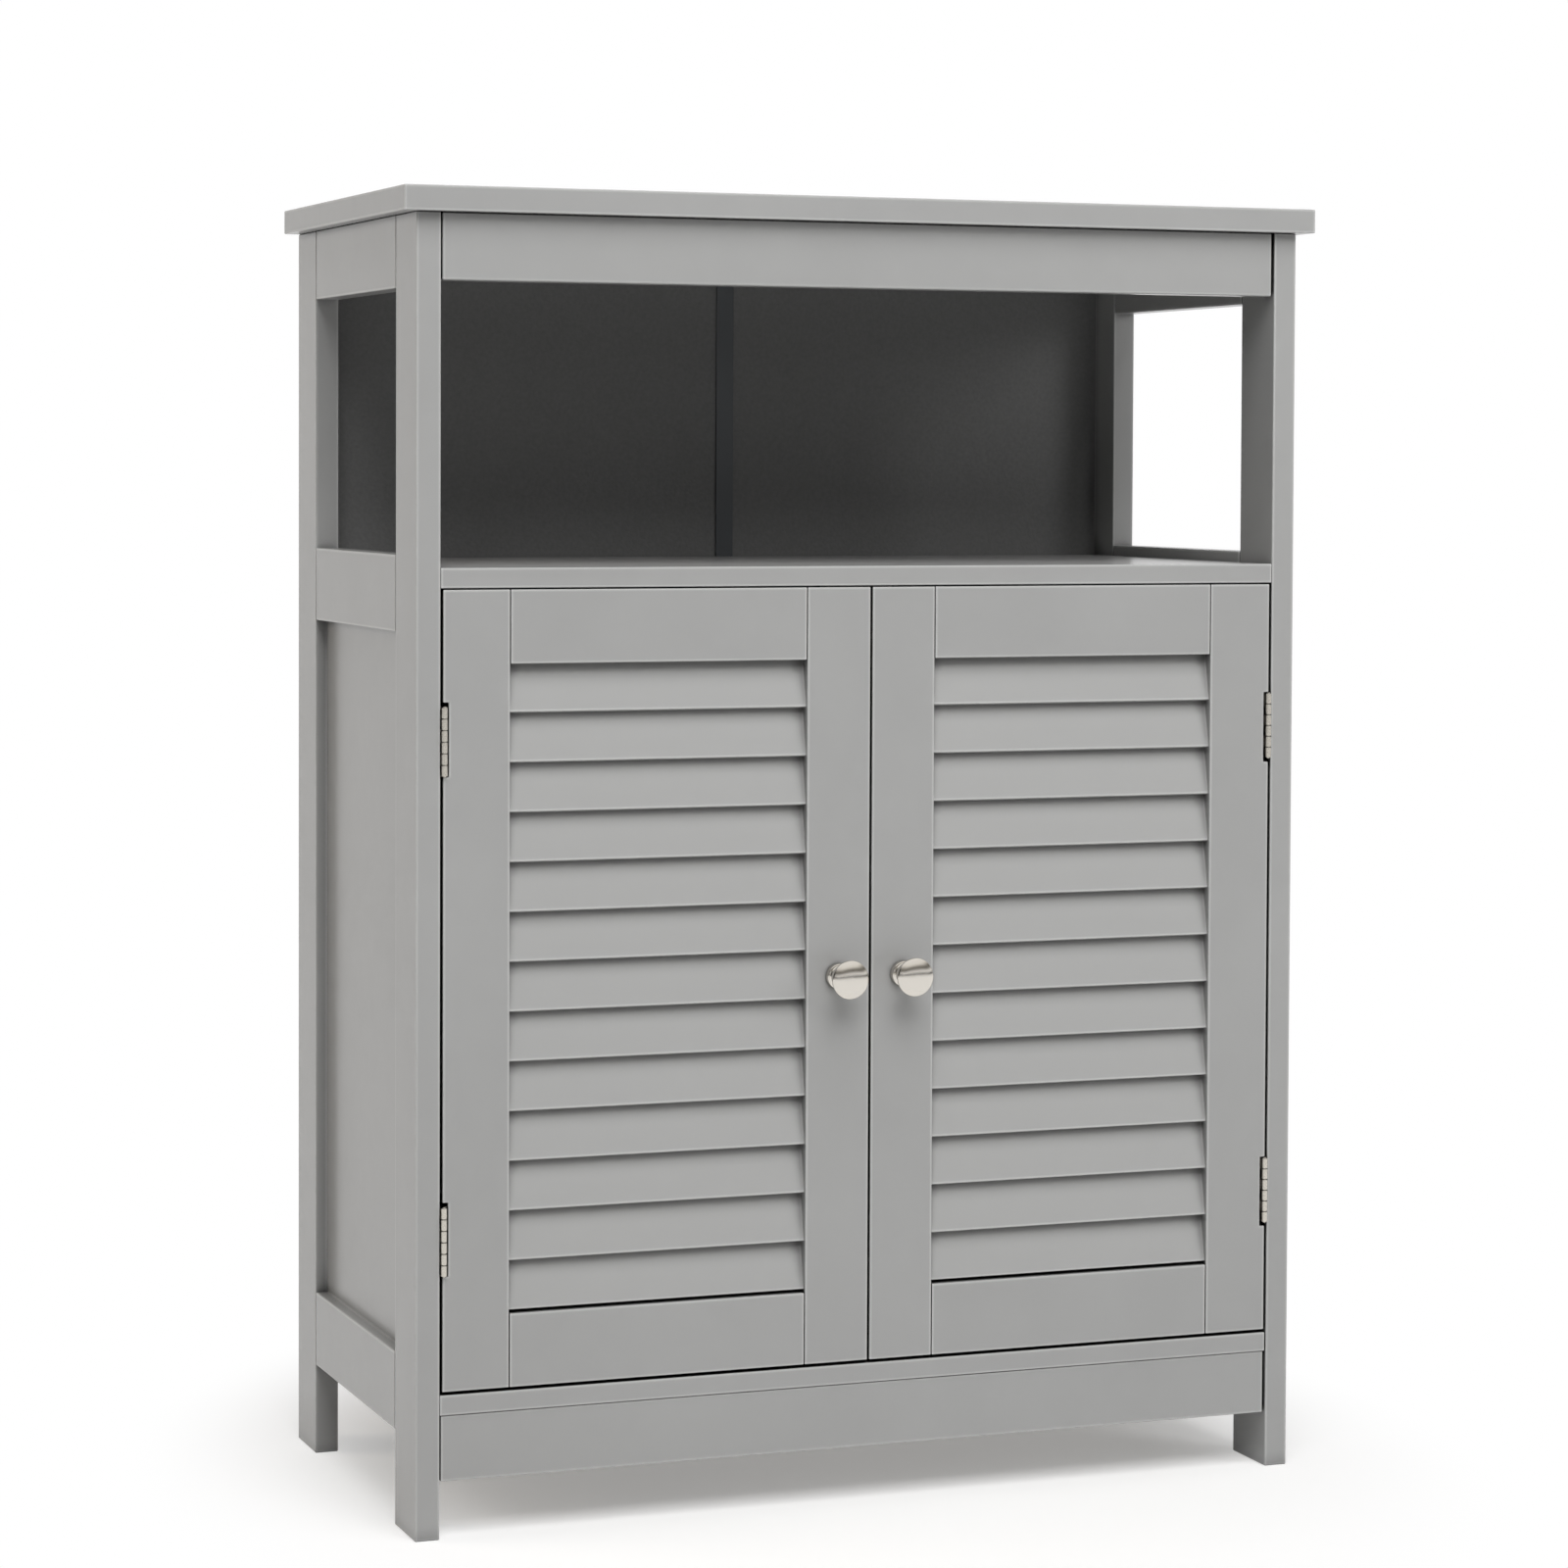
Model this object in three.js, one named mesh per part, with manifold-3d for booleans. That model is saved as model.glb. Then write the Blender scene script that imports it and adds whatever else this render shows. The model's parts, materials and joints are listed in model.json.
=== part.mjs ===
// A louvred door cabinet: an open compartment over a cupboard closed by two louvred doors.
// Millimetres, +Z up. X runs to the right as the cabinet is seen from the front, Y to the back.
import * as THREE from 'three';
import { RoundedBoxGeometry } from 'three/addons/geometries/RoundedBoxGeometry.js';
import { mergeVertices } from 'three/addons/utils/BufferGeometryUtils.js';
import Module from 'manifold-3d';

const wasm = await Module();
wasm.setup();

// Whole cabinet
const cabinetHeight = 800;
const frameWidth = 576;         // over the outer faces of the posts
const frameDepth = 282;         // from the front of the front posts to the back of the rear posts
const jointGap = 0.1;           // glued and screwed faces that meet square
const slotClearance = 0.3;      // round a piece that sits in a groove cut for it
const cutOverrun = 2;           // how far a cutter runs past the face that it opens
const boardArris = 0.8;         // softened edges of painted boards
const sideJointGap = 0.4;       // the fine open joints between the side rails and the posts

// Top board
const topThickness = 15;
const topSideOverhang = 9.5;
const topFrontOverhang = 8;

// Posts and side rails
const postThickness = 15;
const postWidth = 45;
const topSideRailHeight = 43.5;
const middleSideRailLip = 7;     // the middle side rail stands this far above the shelf
const middleSideRailHeight = 46;
const bottomSideRailTop = 104.5;
const bottomSideRailHeight = 47;

// Aprons and shelves
const topApronHeight = 40;
const topApronArris = 1.5;
const apronThickness = 15;
const topApronRightGap = 1.2;   // the open joint at the right end of the top apron
const bottomRightGap = 0.8;     // and of the bottom board and the bottom apron
const bottomApronRecess = 1;
const floorClearance = 34.5;
const shelfTop = 576;
const shelfThickness = 12;
const bottomBoardTop = 86;
const bottomBoardThickness = 12;
const innerShelfTop = 322;
const innerShelfThickness = 12;
const innerShelfSetback = 32;

// Thin panels
const sidePanelThickness = 4;
const sidePanelRecess = 7.5;
const sidePanelTongue = 6;
const sidePanelArris = 0.5;
const backPanelThickness = 3;
const backPanelSetback = 15;    // from the back of the posts to the front of the back panels
const backPanelTongue = 5;
const backPanelArris = 0.4;
const stripWidth = 12;          // the profile that joins the two back panels
const stripFlange = 1;
const stripWeb = 1.2;
const stripArris = 0.25;
const stripClearance = 0.2;

// Doors
const doorThickness = 18;
const doorSideGap = 1.7;
const doorCentreGap = 1.5;
const doorTopGap = 0.9;
const doorBottomGap = 2;
const stileWidth = 41;
const doorRailHeight = 44;
const doorArris = 0.7;
const railOverlap = 0.2;        // the rails run this far into the stiles, which makes one glued frame

// Louvres
const louvreCount = 13;
const louvreThickness = 5;
const louvreLapGap = 1.1;       // between one louvre's back and the next one's face
const louvreLap = 6.4;
const louvreRecess = 2.2;       // from the door's face to the lower front edge
const louvreFootGap = 1;        // under the last louvre
const louvreHousing = 4;        // how far a louvre's end sits in its stile
const louvreArris = 0.6;

// Hinges
const hingeHeight = 41;
const hingeFromDoorEnd = 89.5;  // from the door's top or bottom to the hinge's middle
const hingeKnuckles = 6;
const hingeBarrelRadius = 1.8;
const hingePinRadius = 0.95;
const hingeBoreRadius = 1.03;
const hingeKnuckleGap = 0.3;
const hingeLeafThickness = 1;
const hingeLeafWidth = 16;
const hingeAxisFromPost = 2.2;
const hingeAxisForward = 1;     // how far the pin stands in front of the door's face
const hingeNeckLength = 4.2;    // from the pin to where a leaf has stepped over to its plate
const hingeNotchHeight = 44;
const hingeNotchDepth = 3.3;
const hingeNotchShift = 1.1;    // the left door's notches sit this much high, the right door's low
const barrelSegments = 20;

// Knobs
const knobBaseRadius = 8.1;
const knobBaseHeight = 4.5;
const knobNeckRadius = 5.6;
const knobHeadRadius = 11.8;
const knobRimHeight = 1.4;
const knobProjection = 25;
const knobDomeHeight = 3.2;
const knobUndersideHeight = 6;
const knobEdgeRadius = 0.8;
const knobWaistInset = 1.6;     // from the base's rim to where the waist starts
const knobSegments = 36;
const domeSteps = 6;

// Magnetic catch under the middle shelf
const catchWidth = 44;
const catchDepth = 14;
const catchHeight = 12;
const catchFromDoor = 1.5;

// Levels and planes worked out from the sizes above
const underTop = cabinetHeight - topThickness;
const middleSideRailTop = shelfTop + middleSideRailLip;
const outerX = frameWidth / 2;
const innerX = outerX - postThickness;
const frontPostBack = postWidth;
const rearPostFront = frameDepth - postWidth;
const backPanelFront = frameDepth - backPanelSetback;
const boardBack = backPanelFront - stripFlange - 2 * stripClearance;
const shelfBottom = shelfTop - shelfThickness;
const bottomBoardBottom = bottomBoardTop - bottomBoardThickness;
const middleSideRailBottom = middleSideRailTop - middleSideRailHeight;
const doorTop = shelfBottom - doorTopGap;
const doorBottom = bottomBoardTop + doorBottomGap;
const doorHeight = doorTop - doorBottom;
const doorOuterX = innerX - doorSideGap;
const doorInnerX = doorCentreGap / 2;
const openingOuterX = doorOuterX - stileWidth;
const openingInnerX = doorInnerX + stileWidth;
const openingTop = doorTop - doorRailHeight;
const openingBottom = doorBottom + doorRailHeight;
const frontReach = Math.max(knobProjection + jointGap, topFrontOverhang);

const paint = { color: 0xa3a4a2, roughness: 0.42, metalness: 0 };
const backPaint = { color: 0x8f908e, roughness: 0.6, metalness: 0 };
const stripPlastic = { color: 0x7e8082, roughness: 0.5, metalness: 0 };
const nickel = { color: 0xc9c3ba, roughness: 0.28, metalness: 1 };
const catchPlastic = { color: 0xe6e4df, roughness: 0.5, metalness: 0 };

const cabinet = new THREE.Group();
cabinet.position.y = (frontReach - frameDepth) / 2;
const carcass = new THREE.Group();
cabinet.add(carcass);

// Puts a geometry in the scene as one named piece.
function addPiece(parent, name, geometry, look) {
  const mesh = new THREE.Mesh(geometry, new THREE.MeshStandardMaterial(look));
  mesh.name = name;
  parent.add(mesh);
  return mesh;
}

// A closed solid from a geometry, ready for joining and cutting.
function solidOf(geometry) {
  const bare = geometry.clone();
  bare.deleteAttribute('normal');
  bare.deleteAttribute('uv');
  const merged = mergeVertices(bare);
  const vertProperties = new Float32Array(merged.attributes.position.array);
  const triVerts = new Uint32Array(merged.index.array);
  return new wasm.Manifold(new wasm.Mesh({ numProp: 3, vertProperties, triVerts }));
}

// The geometry of a finished solid.
function geometryOf(solid) {
  const mesh = solid.getMesh();
  const geometry = new THREE.BufferGeometry();
  geometry.setAttribute('position', new THREE.BufferAttribute(mesh.vertProperties, 3));
  geometry.setIndex(new THREE.BufferAttribute(mesh.triVerts, 1));
  geometry.computeVertexNormals();
  return geometry;
}

// The middle of a box given by its low and high corners.
function middleOf(low, high) {
  return low.map((value, axis) => (value + high[axis]) / 2);
}

// A board with softened edges, centred on its own origin.
function boardGeometry(low, high, arris) {
  const [width, depth, height] = low.map((value, axis) => high[axis] - value);
  return new RoundedBoxGeometry(width, depth, height, 1, arris);
}

// A board between two corners of the cabinet, with grooves or notches cut from it.
function addBoard(parent, name, low, high, { look = paint, arris = boardArris, cuts = [] } = {}) {
  const middle = middleOf(low, high);
  let geometry = boardGeometry(low, high, arris);
  if (cuts.length > 0) {
    let solid = solidOf(geometry);
    for (const [cutLow, cutHigh] of cuts) {
      solid = solid.subtract(boxSolid(cutLow, cutHigh, middle));
    }
    geometry = geometryOf(solid);
  }
  const mesh = addPiece(parent, name, geometry, look);
  mesh.position.set(...middle);
  return mesh;
}

// A plain box between two corners, moved so that the given origin becomes zero.
function boxSolid(low, high, origin) {
  const [width, depth, height] = low.map((value, axis) => high[axis] - value);
  const geometry = new THREE.BoxGeometry(width, depth, height);
  const middle = middleOf(low, high).map((value, axis) => value - origin[axis]);
  geometry.translate(...middle);
  return solidOf(geometry);
}

// A box's corners in order, for pieces that are mirrored left to right.
function mirrored(side, low, high) {
  if (side > 0) return [low, high];
  return [[-high[0], low[1], low[2]], [-low[0], high[1], high[2]]];
}

const sides = [{ name: 'left', sign: -1 }, { name: 'right', sign: 1 }];

// The groove in a post or rail that takes the edge of a side panel.
const sidePanelOuterX = outerX - sidePanelRecess;
const sidePanelInnerX = sidePanelOuterX - sidePanelThickness;
const sideGroove = sidePanelTongue + slotClearance;
const sidePanelLow = bottomSideRailTop - sidePanelTongue;
const sidePanelHigh = middleSideRailBottom + sidePanelTongue;

function sideGrooveCut(side, lowY, lowZ, highY, highZ) {
  const low = [sidePanelInnerX - slotClearance, lowY, lowZ];
  const high = [sidePanelOuterX + slotClearance, highY, highZ];
  return mirrored(side, low, high);
}

function addPosts(side) {
  const grooveLow = sidePanelLow - slotClearance;
  const grooveHigh = sidePanelHigh + slotClearance;
  const top = underTop - jointGap;
  const frontBox = mirrored(side.sign, [innerX, 0, 0], [outerX, frontPostBack, top]);
  const frontCut = sideGrooveCut(side.sign, frontPostBack - sideGroove, grooveLow,
    frontPostBack + cutOverrun, grooveHigh);
  addBoard(carcass, `front_${side.name}_post`, ...frontBox, { cuts: [frontCut] });
  const rearBox = mirrored(side.sign, [innerX, rearPostFront, 0], [outerX, frameDepth, top]);
  const rearCut = sideGrooveCut(side.sign, rearPostFront - cutOverrun, grooveLow,
    rearPostFront + sideGroove, grooveHigh);
  const backCut = mirrored(side.sign,
    [innerX - cutOverrun, backPanelFront - slotClearance, bottomBoardBottom - slotClearance],
    [innerX + backPanelTongue + slotClearance, backPanelFront + backPanelThickness + slotClearance,
      underTop + cutOverrun]);
  addBoard(carcass, `rear_${side.name}_post`, ...rearBox, { cuts: [rearCut, backCut] });
}

function addSideRails(side) {
  const railFront = frontPostBack + sideJointGap;
  const railBack = rearPostFront - sideJointGap;
  const cutFront = railFront - cutOverrun;
  const cutBack = railBack + cutOverrun;
  const rails = [
    { name: 'top', low: underTop - topSideRailHeight, high: underTop - jointGap, cuts: [] },
    {
      name: 'middle', low: middleSideRailBottom, high: middleSideRailTop,
      cuts: [sideGrooveCut(side.sign, cutFront, middleSideRailBottom - cutOverrun,
        cutBack, middleSideRailBottom + sideGroove)],
    },
    {
      name: 'bottom', low: bottomSideRailTop - bottomSideRailHeight, high: bottomSideRailTop,
      cuts: [sideGrooveCut(side.sign, cutFront, bottomSideRailTop - sideGroove,
        cutBack, bottomSideRailTop + cutOverrun)],
    },
  ];
  for (const rail of rails) {
    const box = mirrored(side.sign, [innerX, railFront, rail.low], [outerX, railBack, rail.high]);
    addBoard(carcass, `${side.name}_${rail.name}_side_rail`, ...box, { cuts: rail.cuts });
  }
}

function addSidePanel(side) {
  const box = mirrored(side.sign,
    [sidePanelInnerX, frontPostBack - sidePanelTongue, sidePanelLow],
    [sidePanelOuterX, rearPostFront + sidePanelTongue, sidePanelHigh]);
  addBoard(carcass, `${side.name}_side_panel`, ...box, { arris: sidePanelArris });
}

function addBoards() {
  const topHalf = outerX + topSideOverhang;
  addBoard(carcass, 'top_board', [-topHalf, -topFrontOverhang, underTop],
    [topHalf, frameDepth, cabinetHeight]);
  const boardX = innerX - jointGap;
  addBoard(carcass, 'middle_shelf', [-boardX, 0, shelfBottom], [boardX, boardBack, shelfTop]);
  addBoard(carcass, 'bottom_board', [-boardX, 0, bottomBoardBottom],
    [innerX - bottomRightGap, boardBack, bottomBoardTop]);
  addBoard(carcass, 'inner_shelf', [-boardX, innerShelfSetback, innerShelfTop - innerShelfThickness],
    [boardX, boardBack, innerShelfTop]);
  addBoard(carcass, 'top_apron', [-boardX, 0, underTop - topApronHeight],
    [innerX - topApronRightGap, apronThickness, underTop - jointGap], { arris: topApronArris });
  addBoard(carcass, 'bottom_apron', [-boardX, bottomApronRecess, floorClearance],
    [innerX - bottomRightGap, bottomApronRecess + apronThickness, bottomBoardBottom - jointGap]);
}

function addBackPanel(side) {
  const box = mirrored(side.sign,
    [stripWeb / 2 + stripClearance, backPanelFront, bottomBoardBottom],
    [innerX + backPanelTongue, backPanelFront + backPanelThickness, underTop - jointGap]);
  addBoard(carcass, `${side.name}_back_panel`, ...box, { look: backPaint, arris: backPanelArris });
}

// An H section: two flanges and the web between them, with a back panel's edge in each groove.
function addBackStrip() {
  const grooveDepth = (stripWidth - stripWeb) / 2;
  const low = [-stripWidth / 2, backPanelFront - stripClearance - stripFlange, bottomBoardBottom];
  const high = [stripWidth / 2, backPanelFront + backPanelThickness + stripClearance + stripFlange,
    underTop - jointGap];
  const cuts = sides.map((side) => mirrored(side.sign,
    [stripWeb / 2, low[1] + stripFlange, low[2] - cutOverrun],
    [stripWeb / 2 + grooveDepth + cutOverrun, high[1] - stripFlange, high[2] + cutOverrun]));
  addBoard(carcass, 'back_joint_strip', low, high, { look: stripPlastic, arris: stripArris, cuts });
}

function addCatch() {
  const front = doorThickness + catchFromDoor;
  addBoard(carcass, 'door_catch', [-catchWidth / 2, front, shelfBottom - jointGap - catchHeight],
    [catchWidth / 2, front + catchDepth, shelfBottom - jointGap], { look: catchPlastic });
}

// A louvre is a flat slat, tilted so that its lower edge comes forward over the next one.
const louvrePitch = (openingTop - openingBottom - louvreFootGap) / louvreCount;
const louvreTilt = Math.asin((louvreThickness + louvreLapGap) / louvrePitch);
const louvreHeight = louvrePitch / Math.cos(louvreTilt) + louvreLap;
const louvreLength = openingOuterX - openingInnerX + 2 * louvreHousing;

function slatGeometry(clearance) {
  const high = [louvreLength / 2 + clearance, louvreThickness / 2 + clearance,
    louvreHeight / 2 + clearance];
  return boardGeometry(high.map((value) => -value), high, louvreArris);
}

// Where the middle of a louvre lies, counted from the top of the door.
function louvrePlace(index) {
  const sin = Math.sin(louvreTilt);
  const cos = Math.cos(louvreTilt);
  const lowerEdge = openingTop - (index + 1) * louvrePitch;
  const y = louvreRecess + (louvreHeight * sin + louvreThickness * cos) / 2;
  const z = lowerEdge + (louvreHeight * cos + louvreThickness * sin) / 2;
  return new THREE.Vector3((openingOuterX + openingInnerX) / 2, y, z);
}

const hingeLevels = [
  { name: 'upper', z: doorTop - hingeFromDoorEnd },
  { name: 'lower', z: doorBottom + hingeFromDoorEnd },
];

// One glued frame for the right door: two full-height stiles and two rails between them, with the
// louvres' slanting slots and the hinges' notches cut in it. The left door mirrors it.
function doorFrameGeometry(sign) {
  const low = [doorInnerX, 0, doorBottom];
  const high = [doorOuterX, doorThickness, doorTop];
  const railLow = openingInnerX - railOverlap;
  const railHigh = openingOuterX + railOverlap;
  const bars = [
    [low, [openingInnerX, doorThickness, doorTop]],
    [[openingOuterX, 0, doorBottom], high],
    [[railLow, 0, openingTop], [railHigh, doorThickness, doorTop]],
    [[railLow, 0, doorBottom], [railHigh, doorThickness, openingBottom]],
  ];
  let frame = null;
  for (const [barLow, barHigh] of bars) {
    const geometry = boardGeometry(barLow, barHigh, doorArris);
    geometry.translate(...middleOf(barLow, barHigh));
    const bar = solidOf(geometry);
    frame = frame === null ? bar : frame.add(bar);
  }
  const slot = slatGeometry(slotClearance);
  slot.applyMatrix4(new THREE.Matrix4().makeRotationX(-louvreTilt));
  for (let index = 0; index < louvreCount; index += 1) {
    const place = louvrePlace(index);
    frame = frame.subtract(solidOf(slot.clone().translate(place.x, place.y, place.z)));
  }
  for (const level of hingeLevels) {
    const notchMiddle = level.z - sign * hingeNotchShift;
    frame = frame.subtract(boxSolid(
      [doorOuterX - hingeNotchDepth, -cutOverrun, notchMiddle - hingeNotchHeight / 2],
      [doorOuterX + cutOverrun, doorThickness + cutOverrun, notchMiddle + hingeNotchHeight / 2],
      [0, 0, 0]));
  }
  const geometry = geometryOf(frame);
  return sign > 0 ? geometry : mirrorGeometry(geometry);
}

// The same shape seen in a mirror across X, with its faces still pointing out.
function mirrorGeometry(geometry) {
  const copy = geometry.clone();
  copy.scale(-1, 1, 1);
  const order = copy.index.array;
  for (let corner = 0; corner < order.length; corner += 3) {
    [order[corner], order[corner + 1]] = [order[corner + 1], order[corner]];
  }
  copy.computeVertexNormals();
  return copy;
}

// One hinge leaf about its pin, which stands on the Z axis. Its sheet runs straight back behind
// the knuckles and then steps sideways to the plate, which lies where leafX says.
const knucklePitch = hingeHeight / hingeKnuckles;

function cylinderSolid(radius, height, middleZ) {
  const geometry = new THREE.CylinderGeometry(radius, radius, height, barrelSegments);
  geometry.rotateX(Math.PI / 2);
  geometry.translate(0, 0, middleZ);
  return solidOf(geometry);
}

function hingeLeafGeometry(leafLowX, leafHighX, firstKnuckle, withPin) {
  const plateFront = hingeNeckLength - hingeLeafThickness;
  const plateBack = hingeAxisForward + hingeLeafWidth;
  const neckMiddle = Math.sign(leafLowX) * hingeBarrelRadius / 2;
  const neckLowX = neckMiddle - hingeLeafThickness / 2;
  const neckHighX = neckMiddle + hingeLeafThickness / 2;
  const origin = [0, 0, 0];
  let leaf = boxSolid([leafLowX, plateFront, -hingeHeight / 2],
    [leafHighX, plateBack, hingeHeight / 2], origin);
  for (let knuckle = firstKnuckle; knuckle < hingeKnuckles; knuckle += 2) {
    const middle = (knuckle + 1 / 2) * knucklePitch - hingeHeight / 2;
    const height = knucklePitch - hingeKnuckleGap;
    const neck = boxSolid([neckLowX, 0, middle - height / 2],
      [neckHighX, hingeNeckLength, middle + height / 2], origin);
    const step = boxSolid([Math.min(neckLowX, leafLowX), plateFront, middle - height / 2],
      [Math.max(neckHighX, leafHighX), hingeNeckLength, middle + height / 2], origin);
    leaf = leaf.add(neck).add(step).add(cylinderSolid(hingeBarrelRadius, height, middle));
  }
  if (withPin) {
    return geometryOf(leaf.add(cylinderSolid(hingePinRadius, hingeHeight, 0)));
  }
  return geometryOf(leaf.subtract(cylinderSolid(hingeBoreRadius, hingeHeight + cutOverrun, 0)));
}

const fixedLeafOuter = hingeAxisFromPost - jointGap;
const movingLeafOuter = doorOuterX - hingeNotchDepth + jointGap - (innerX - hingeAxisFromPost);

function addHinges(side, door) {
  const fixedShape = hingeLeafGeometry(fixedLeafOuter - hingeLeafThickness, fixedLeafOuter, 0, true);
  const movingShape = hingeLeafGeometry(movingLeafOuter, movingLeafOuter + hingeLeafThickness, 1, false);
  for (const level of hingeLevels) {
    const pieces = [
      { parent: carcass, name: `${side.name}_${level.name}_hinge_fixed_leaf`, shape: fixedShape },
      { parent: door, name: `${side.name}_${level.name}_hinge_moving_leaf`, shape: movingShape },
    ];
    for (const piece of pieces) {
      const shape = side.sign > 0 ? piece.shape : mirrorGeometry(piece.shape);
      const mesh = addPiece(piece.parent, piece.name, shape, nickel);
      mesh.position.set(side.sign * (innerX - hingeAxisFromPost), -hingeAxisForward, level.z);
    }
  }
}

// A mushroom knob turned about its screw: base, waist, flared underside, rim and shallow dome.
function knobGeometry() {
  const rimTop = knobProjection - knobDomeHeight;
  const rimBottom = rimTop - knobRimHeight;
  const flareBottom = rimBottom - knobUndersideHeight;
  const points = [
    new THREE.Vector2(0, 0),
    new THREE.Vector2(knobBaseRadius, 0),
    new THREE.Vector2(knobBaseRadius, knobBaseHeight - knobEdgeRadius),
    new THREE.Vector2(knobBaseRadius - knobEdgeRadius, knobBaseHeight),
  ];
  const waistStart = knobBaseRadius - knobWaistInset;
  const waistHeight = flareBottom - knobBaseHeight;
  for (let step = 0; step <= domeSteps; step += 1) {
    const angle = (Math.PI * step) / (2 * domeSteps);
    points.push(new THREE.Vector2(
      knobNeckRadius + (waistStart - knobNeckRadius) * (1 - Math.sin(angle)),
      knobBaseHeight + waistHeight * (1 - Math.cos(angle))));
  }
  for (let step = 1; step <= domeSteps; step += 1) {
    const angle = (Math.PI * step) / (2 * domeSteps);
    points.push(new THREE.Vector2(
      knobNeckRadius + (knobHeadRadius - knobNeckRadius) * (1 - Math.cos(angle)),
      flareBottom + knobUndersideHeight * Math.sin(angle)));
  }
  points.push(new THREE.Vector2(knobHeadRadius, rimTop));
  for (let step = 1; step < domeSteps; step += 1) {
    const angle = (Math.PI * step) / (2 * domeSteps);
    points.push(new THREE.Vector2(
      knobHeadRadius * Math.cos(angle),
      rimTop + knobDomeHeight * Math.sin(angle)));
  }
  points.push(new THREE.Vector2(0, knobProjection));
  return new THREE.LatheGeometry(points, knobSegments);
}

function addDoor(side) {
  const door = new THREE.Group();
  cabinet.add(door);
  addPiece(door, `${side.name}_door_frame`, doorFrameGeometry(side.sign), paint);
  for (let index = 0; index < louvreCount; index += 1) {
    const number = String(index + 1).padStart(2, '0');
    const slat = addPiece(door, `${side.name}_louvre_${number}`, slatGeometry(0), paint);
    const place = louvrePlace(index);
    slat.position.set(side.sign * place.x, place.y, place.z);
    slat.rotation.x = -louvreTilt;
  }
  const knob = addPiece(door, `${side.name}_door_knob`, knobGeometry(), nickel);
  knob.rotation.x = Math.PI;
  knob.position.set(side.sign * (doorInnerX + openingInnerX) / 2, -jointGap, (doorTop + doorBottom) / 2);
  return door;
}

addBoards();
for (const side of sides) {
  addPosts(side);
  addSideRails(side);
  addSidePanel(side);
  addBackPanel(side);
  addHinges(side, addDoor(side));
}
addBackStrip();
addCatch();

export default cabinet;
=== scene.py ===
# %% [markdown]
# # A grey louvred door cabinet
#
# The real object is a small bathroom cabinet: four flat posts, boards and rails between them, an
# open compartment on top, and a cupboard under it behind two louvred doors. All of it is painted
# the same satin grey, and the knobs and hinges are satin nickel.
#
# The frame is the CAD model that says where every piece is. It is loaded first, and each piece
# made here takes its place from a CAD piece, so nothing has to be fitted by eye.

import json
import math

import bpy
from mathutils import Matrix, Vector


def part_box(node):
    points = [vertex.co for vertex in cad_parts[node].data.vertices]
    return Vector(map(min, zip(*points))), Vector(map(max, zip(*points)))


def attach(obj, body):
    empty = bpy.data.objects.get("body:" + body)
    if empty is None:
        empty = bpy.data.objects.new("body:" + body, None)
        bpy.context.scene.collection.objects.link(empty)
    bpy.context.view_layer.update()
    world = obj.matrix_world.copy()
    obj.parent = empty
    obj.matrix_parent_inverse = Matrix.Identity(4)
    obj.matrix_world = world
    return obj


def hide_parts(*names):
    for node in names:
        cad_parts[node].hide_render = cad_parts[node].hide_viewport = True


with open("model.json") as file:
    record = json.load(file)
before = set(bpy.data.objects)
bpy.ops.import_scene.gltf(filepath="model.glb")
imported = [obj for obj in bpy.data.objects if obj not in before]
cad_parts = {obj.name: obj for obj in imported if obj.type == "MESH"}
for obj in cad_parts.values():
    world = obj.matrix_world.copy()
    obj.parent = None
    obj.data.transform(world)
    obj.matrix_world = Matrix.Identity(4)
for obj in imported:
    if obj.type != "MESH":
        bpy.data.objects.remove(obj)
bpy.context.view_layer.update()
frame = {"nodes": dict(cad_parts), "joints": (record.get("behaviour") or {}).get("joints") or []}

# %% [markdown]
# ## A few helpers
#
# Blender's operators act on whatever is selected, and loading the frame leaves its pieces
# selected. So before each new piece everything is deselected. After a piece is shaped, its move,
# turn and scale are applied, which leaves the object at the origin with its place in its mesh.

# %% Helpers for selecting and for finishing a mesh
MM = 0.001
X_AXIS, Y_AXIS = 0, 1


def deselect_all():
    bpy.ops.object.select_all(action="DESELECT")


def select_only(*pieces):
    deselect_all()
    for piece in pieces:
        piece.select_set(True)
    bpy.context.view_layer.objects.active = pieces[0]


def put_place_in_mesh(piece):
    select_only(piece)
    bpy.ops.object.transform_apply(location=True, rotation=True, scale=True)


def join_pieces(name, pieces):
    select_only(*pieces)
    if len(pieces) > 1:
        bpy.ops.object.join()
    whole = bpy.context.active_object
    whole.name = name
    whole.data.name = name
    return whole


def copy_of(piece, name, move=(0, 0, 0)):
    """A copy with a mesh of its own, moved by some metres."""
    select_only(piece)
    bpy.ops.object.duplicate(linked=False)
    copy = bpy.context.active_object
    copy.name = name
    copy.data.name = name
    copy.location = Vector(move)
    put_place_in_mesh(copy)
    return copy


# %% [markdown]
# Two tools finish most pieces. A Bevel modifier rounds the edges that are sharper than a set
# angle, and a Boolean modifier cuts one mesh with another. Both are applied at once, so what is
# left is plain mesh. Shading smooth up to an angle joins the rounded edges to the faces beside
# them. Then a Weighted Normal modifier lets the large faces win, so that a flat board looks flat
# up to its rounded edge, where plain smooth shading would make it look pillowed.

# %% Helpers that round edges, cut, and shade
EDGE_ANGLE = math.radians(32)
METAL_ANGLE = math.radians(50)


def round_edges(piece, radius, segments=3):
    select_only(piece)
    bevel = piece.modifiers.new("rounded edges", "BEVEL")
    bevel.width = radius
    bevel.segments = segments
    bevel.limit_method = "ANGLE"
    bevel.angle_limit = EDGE_ANGLE
    bpy.ops.object.modifier_apply(modifier=bevel.name)


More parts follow.
